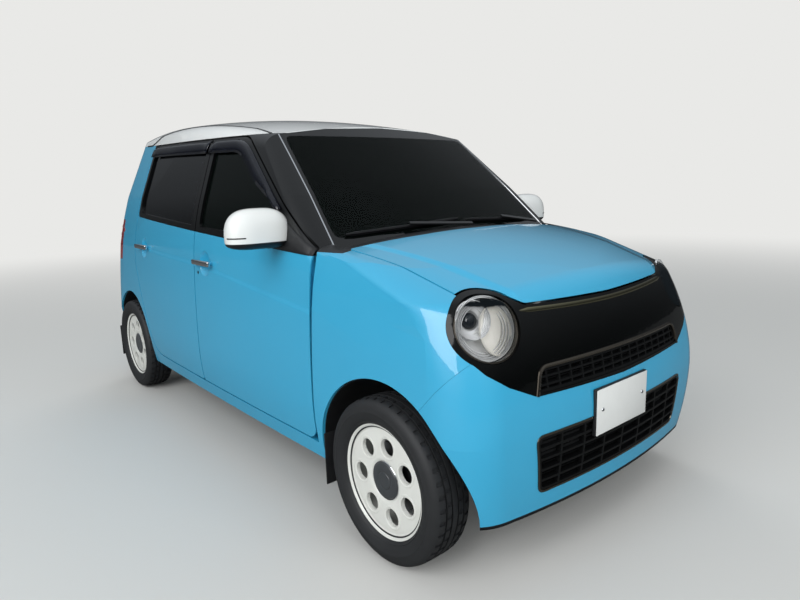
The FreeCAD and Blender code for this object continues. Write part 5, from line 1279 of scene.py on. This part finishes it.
@dataclass
class Panels:
    """Finishes of the frame's own nodes, whose shapes are right as they are."""

    frame: dict

    def finishes(self) -> dict[str, Finish | Pane]:
        """Return each node's finish."""
        chosen = {
            "side_frames": SKY_PAINT_FRAMES, "roof_panel": WHITE_PAINT, "windscreen": SCREEN_GLASS,
            "tail_lamps": TAIL_RED, "rear_bumper": SKY_PAINT_BUMPER, "wings": SKY_PAINT_WINGS,
            "front_bumper": SKY_PAINT_BUMPER, "front_mask": PIANO_BLACK, "grilles": GRILLE_BLACK,
            "headlamps": SMOKED_CHROME, "headlamp_lenses": LAMP_LENS, "floor_pan": CHASSIS_BLACK,
            "fuel_tank": GRAINED_BLACK, "bulkhead_cowl": GRAINED_BLACK, "arch_liners": GRAINED_BLACK,
            "front_frame": CHASSIS_BLACK, "engine_block": CAST_IRON, "front_subframe": CHASSIS_BLACK,
            "rear_axle": CHASSIS_BLACK, "exhaust": BARE_STEEL, "dashboard": DASH_TOP,
            "bonnet": SKY_PAINT_BONNET, "tailgate": SKY_PAINT, "glass_tailgate": TAIL_GLASS,
        }
        for side in Side:
            chosen[f"knuckle_{side.word}"] = CAST_IRON
            for end in ("front", "rear"):
                chosen[f"door_{end}_{side.word}"] = SKY_PAINT_DOORS
            chosen[f"glass_front_{side.word}"] = FRONT_GLASS
            chosen[f"glass_rear_{side.word}"] = REAR_GLASS
        return chosen

    def dress(self) -> None:
        """Give each node its finish."""
        for name, finish in self.finishes().items():
            node = self.frame["nodes"][name]
            node.data.materials.clear()
            node.data.materials.append(finish.build())
            LOG.info("%s: %s", name, finish.name)


@dataclass
class Studio:
    """Camera, pale floor and soft light."""

    focal_px: float = 604.0
    image_width_px: float = 800.0
    sensor_mm: float = 36.0
    place: Triple = (2.706, -1.816, 1.226)
    azimuth: float = math.radians(140.20)
    elevation: float = math.radians(-10.81)
    roll: float = math.radians(-1.76)
    backdrop: str = "e9e9e7"

    def camera(self) -> None:
        """Set the camera at the photograph's place."""
        look = Vector((math.cos(self.elevation) * math.cos(self.azimuth),
                       math.cos(self.elevation) * math.sin(self.azimuth), math.sin(self.elevation)))
        right = look.cross(Vector((0, 0, 1))).normalized()
        up = right.cross(look)
        turned = right * math.cos(self.roll) + up * math.sin(self.roll)
        upright = up * math.cos(self.roll) - right * math.sin(self.roll)
        data = bpy.data.cameras.new("photo_camera")
        data.sensor_width = self.sensor_mm
        data.lens = self.focal_px * self.sensor_mm / self.image_width_px
        data.clip_end = 200.0
        made = bpy.data.objects.new("photo_camera", data)
        basis = Matrix((turned, upright, -look)).transposed().to_4x4()
        made.matrix_world = Matrix.Translation(Vector(self.place)) @ basis
        bpy.context.scene.collection.objects.link(made)
        bpy.context.scene.camera = made

    def floor(self) -> None:
        """Lay the pale floor."""
        made = bmesh.new()
        bmesh.ops.create_grid(made, x_segments=4, y_segments=4, size=60.0)
        data = bpy.data.meshes.new("floor")
        made.to_mesh(data)
        made.free()
        finish = fresh("matt_pale_floor")
        tree = finish.node_tree
        place = put(tree, "ShaderNodeTexCoord", {}, {}).outputs["Object"]
        reach = put(tree, "ShaderNodeVectorMath", {}, {0: place}, operation="LENGTH").outputs["Value"]
        ends = {"From Min": 3.0, "From Max": 12.0}
        fade = put(tree, "ShaderNodeMapRange", ends, {"Value": reach}, interpolation_type="SMOOTHSTEP")
        ray = put(tree, "ShaderNodeLightPath", {}, {})
        links = {0: fade.outputs[0], 1: ray.outputs["Is Camera Ray"]}
        share = put(tree, "ShaderNodeMath", {}, links, operation="MULTIPLY")
        # Painted reflection: where glossy surfaces mirror the floor it shows a darker grey, while it stays
        # pale to the camera and to diffuse light
        tones = {COLOUR_A: linear("cdcdca"), COLOUR_B: linear("6e6e6c")}
        links = {0: ray.outputs["Is Glossy Ray"]}
        tone = put(tree, "ShaderNodeMix", tones, links, data_type="RGBA").outputs[COLOUR_OUT]
        shader = put(tree, "ShaderNodeBsdfPrincipled", {"Roughness": 0.9}, {"Base Color": tone})
        glow = put(tree, "ShaderNodeEmission", {"Color": linear(self.backdrop), "Strength": 1.0}, {})
        links = {0: share.outputs[0], 1: shader.outputs[0], 2: glow.outputs[0]}
        both = put(tree, "ShaderNodeMixShader", {}, links)
        put(tree, "ShaderNodeOutputMaterial", {}, {0: both.outputs[0]})
        data.materials.append(finish)
        floor = bpy.data.objects.new("floor", data)
        bpy.context.scene.collection.objects.link(floor)

    def light(self) -> None:
        """Set the world and the soft lamps."""
        world = bpy.data.worlds.new("studio")
        bpy.context.scene.world = world
        world.use_nodes = True
        tree = world.node_tree
        tree.nodes.clear()
        ray = put(tree, "ShaderNodeLightPath", {}, {})
        links = {0: ray.outputs["Is Camera Ray"], 1: ray.outputs["Is Transmission Ray"]}
        direct = put(tree, "ShaderNodeMath", {}, links, operation="MAXIMUM")
        way = put(tree, "ShaderNodeTexCoord", {}, {}).outputs["Generated"]
        rise = put(tree, "ShaderNodeSeparateXYZ", {}, {0: way}).outputs[2]
        glow = {"From Min": 0.0, "From Max": 0.75, "To Min": 0.05, "To Max": 0.70}
        sky = put(tree, "ShaderNodeMapRange", glow, {"Value": rise}, interpolation_type="SMOOTHSTEP")
        cool = {"Color": linear("e4ebf2")}
        mirrored = put(tree, "ShaderNodeBackground", cool, {"Strength": sky.outputs[0]})
        fill = put(tree, "ShaderNodeBackground", {"Color": linear("e9eef2"), "Strength": 0.62}, {})
        seen = put(tree, "ShaderNodeBackground", {"Color": linear(self.backdrop), "Strength": 1.0}, {})
        links = {0: ray.outputs["Is Glossy Ray"], 1: fill.outputs[0], 2: mirrored.outputs[0]}
        soft = put(tree, "ShaderNodeMixShader", {}, links)
        links = {0: direct.outputs[0], 1: soft.outputs[0], 2: seen.outputs[0]}
        both = put(tree, "ShaderNodeMixShader", {}, links)
        put(tree, "ShaderNodeOutputWorld", {}, {0: both.outputs[0]})
        lamps = (("key", (2.5, -6.5, 4.5), 5.5, 400.0), ("nose", (6.5, -0.5, 3.2), 4.0, 130.0),
                 ("rear", (-5.5, 3.5, 4.5), 4.0, 120.0))
        for name, place, size, power in lamps:
            data = bpy.data.lights.new(name, "AREA")
            data.shape = "SQUARE"
            data.size = size
            data.energy = power
            made = bpy.data.objects.new(name, data)
            aim = Vector((0.0, 0.0, 0.6)) - Vector(place)
            made.matrix_world = Matrix.Translation(place) @ aim.to_track_quat("-Z", "Y").to_matrix().to_4x4()
            made.visible_glossy = name == "key"
            bpy.context.scene.collection.objects.link(made)

    def dress(self) -> None:
        """Build all of it."""
        bpy.context.scene.view_settings.view_transform = "Standard"
        self.camera()
        self.floor()
        self.light()


def main() -> None:
    """Load the frame and dress it."""
    logging.basicConfig(level=logging.INFO, format="%(message)s")
    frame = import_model()
    doors = [f"door_{end}_{side.word}" for end in ("front", "rear") for side in Side]
    panes = [f"glass_{end}_{side.word}" for end in ("front", "rear") for side in Side]
    nose = Outside(frame, ["front_mask", "front_bumper", "grilles", "bonnet", "wings"])
    flank = Outside(frame, doors + panes + ["side_frames", "roof_panel"])
    Studio().dress()
    Panels(frame).dress()
    Wheels().dress()
    Lamps().dress()
    NoseTrim(nose).dress()
    SideTrim(flank).dress()
    screen = Outside(frame, ["windscreen", "side_frames"])
    GlassTrim(screen, Outside(frame, ["roof_panel"]), Outside(frame, ["tailgate", "glass_tailgate"])).dress()
    back = ["tailgate", "glass_tailgate", "rear_bumper", "side_frames", "tail_lamps"]
    TailTrim(Outside(frame, back)).dress()
    Cabin().dress()


if __name__ == "__main__":
    main()
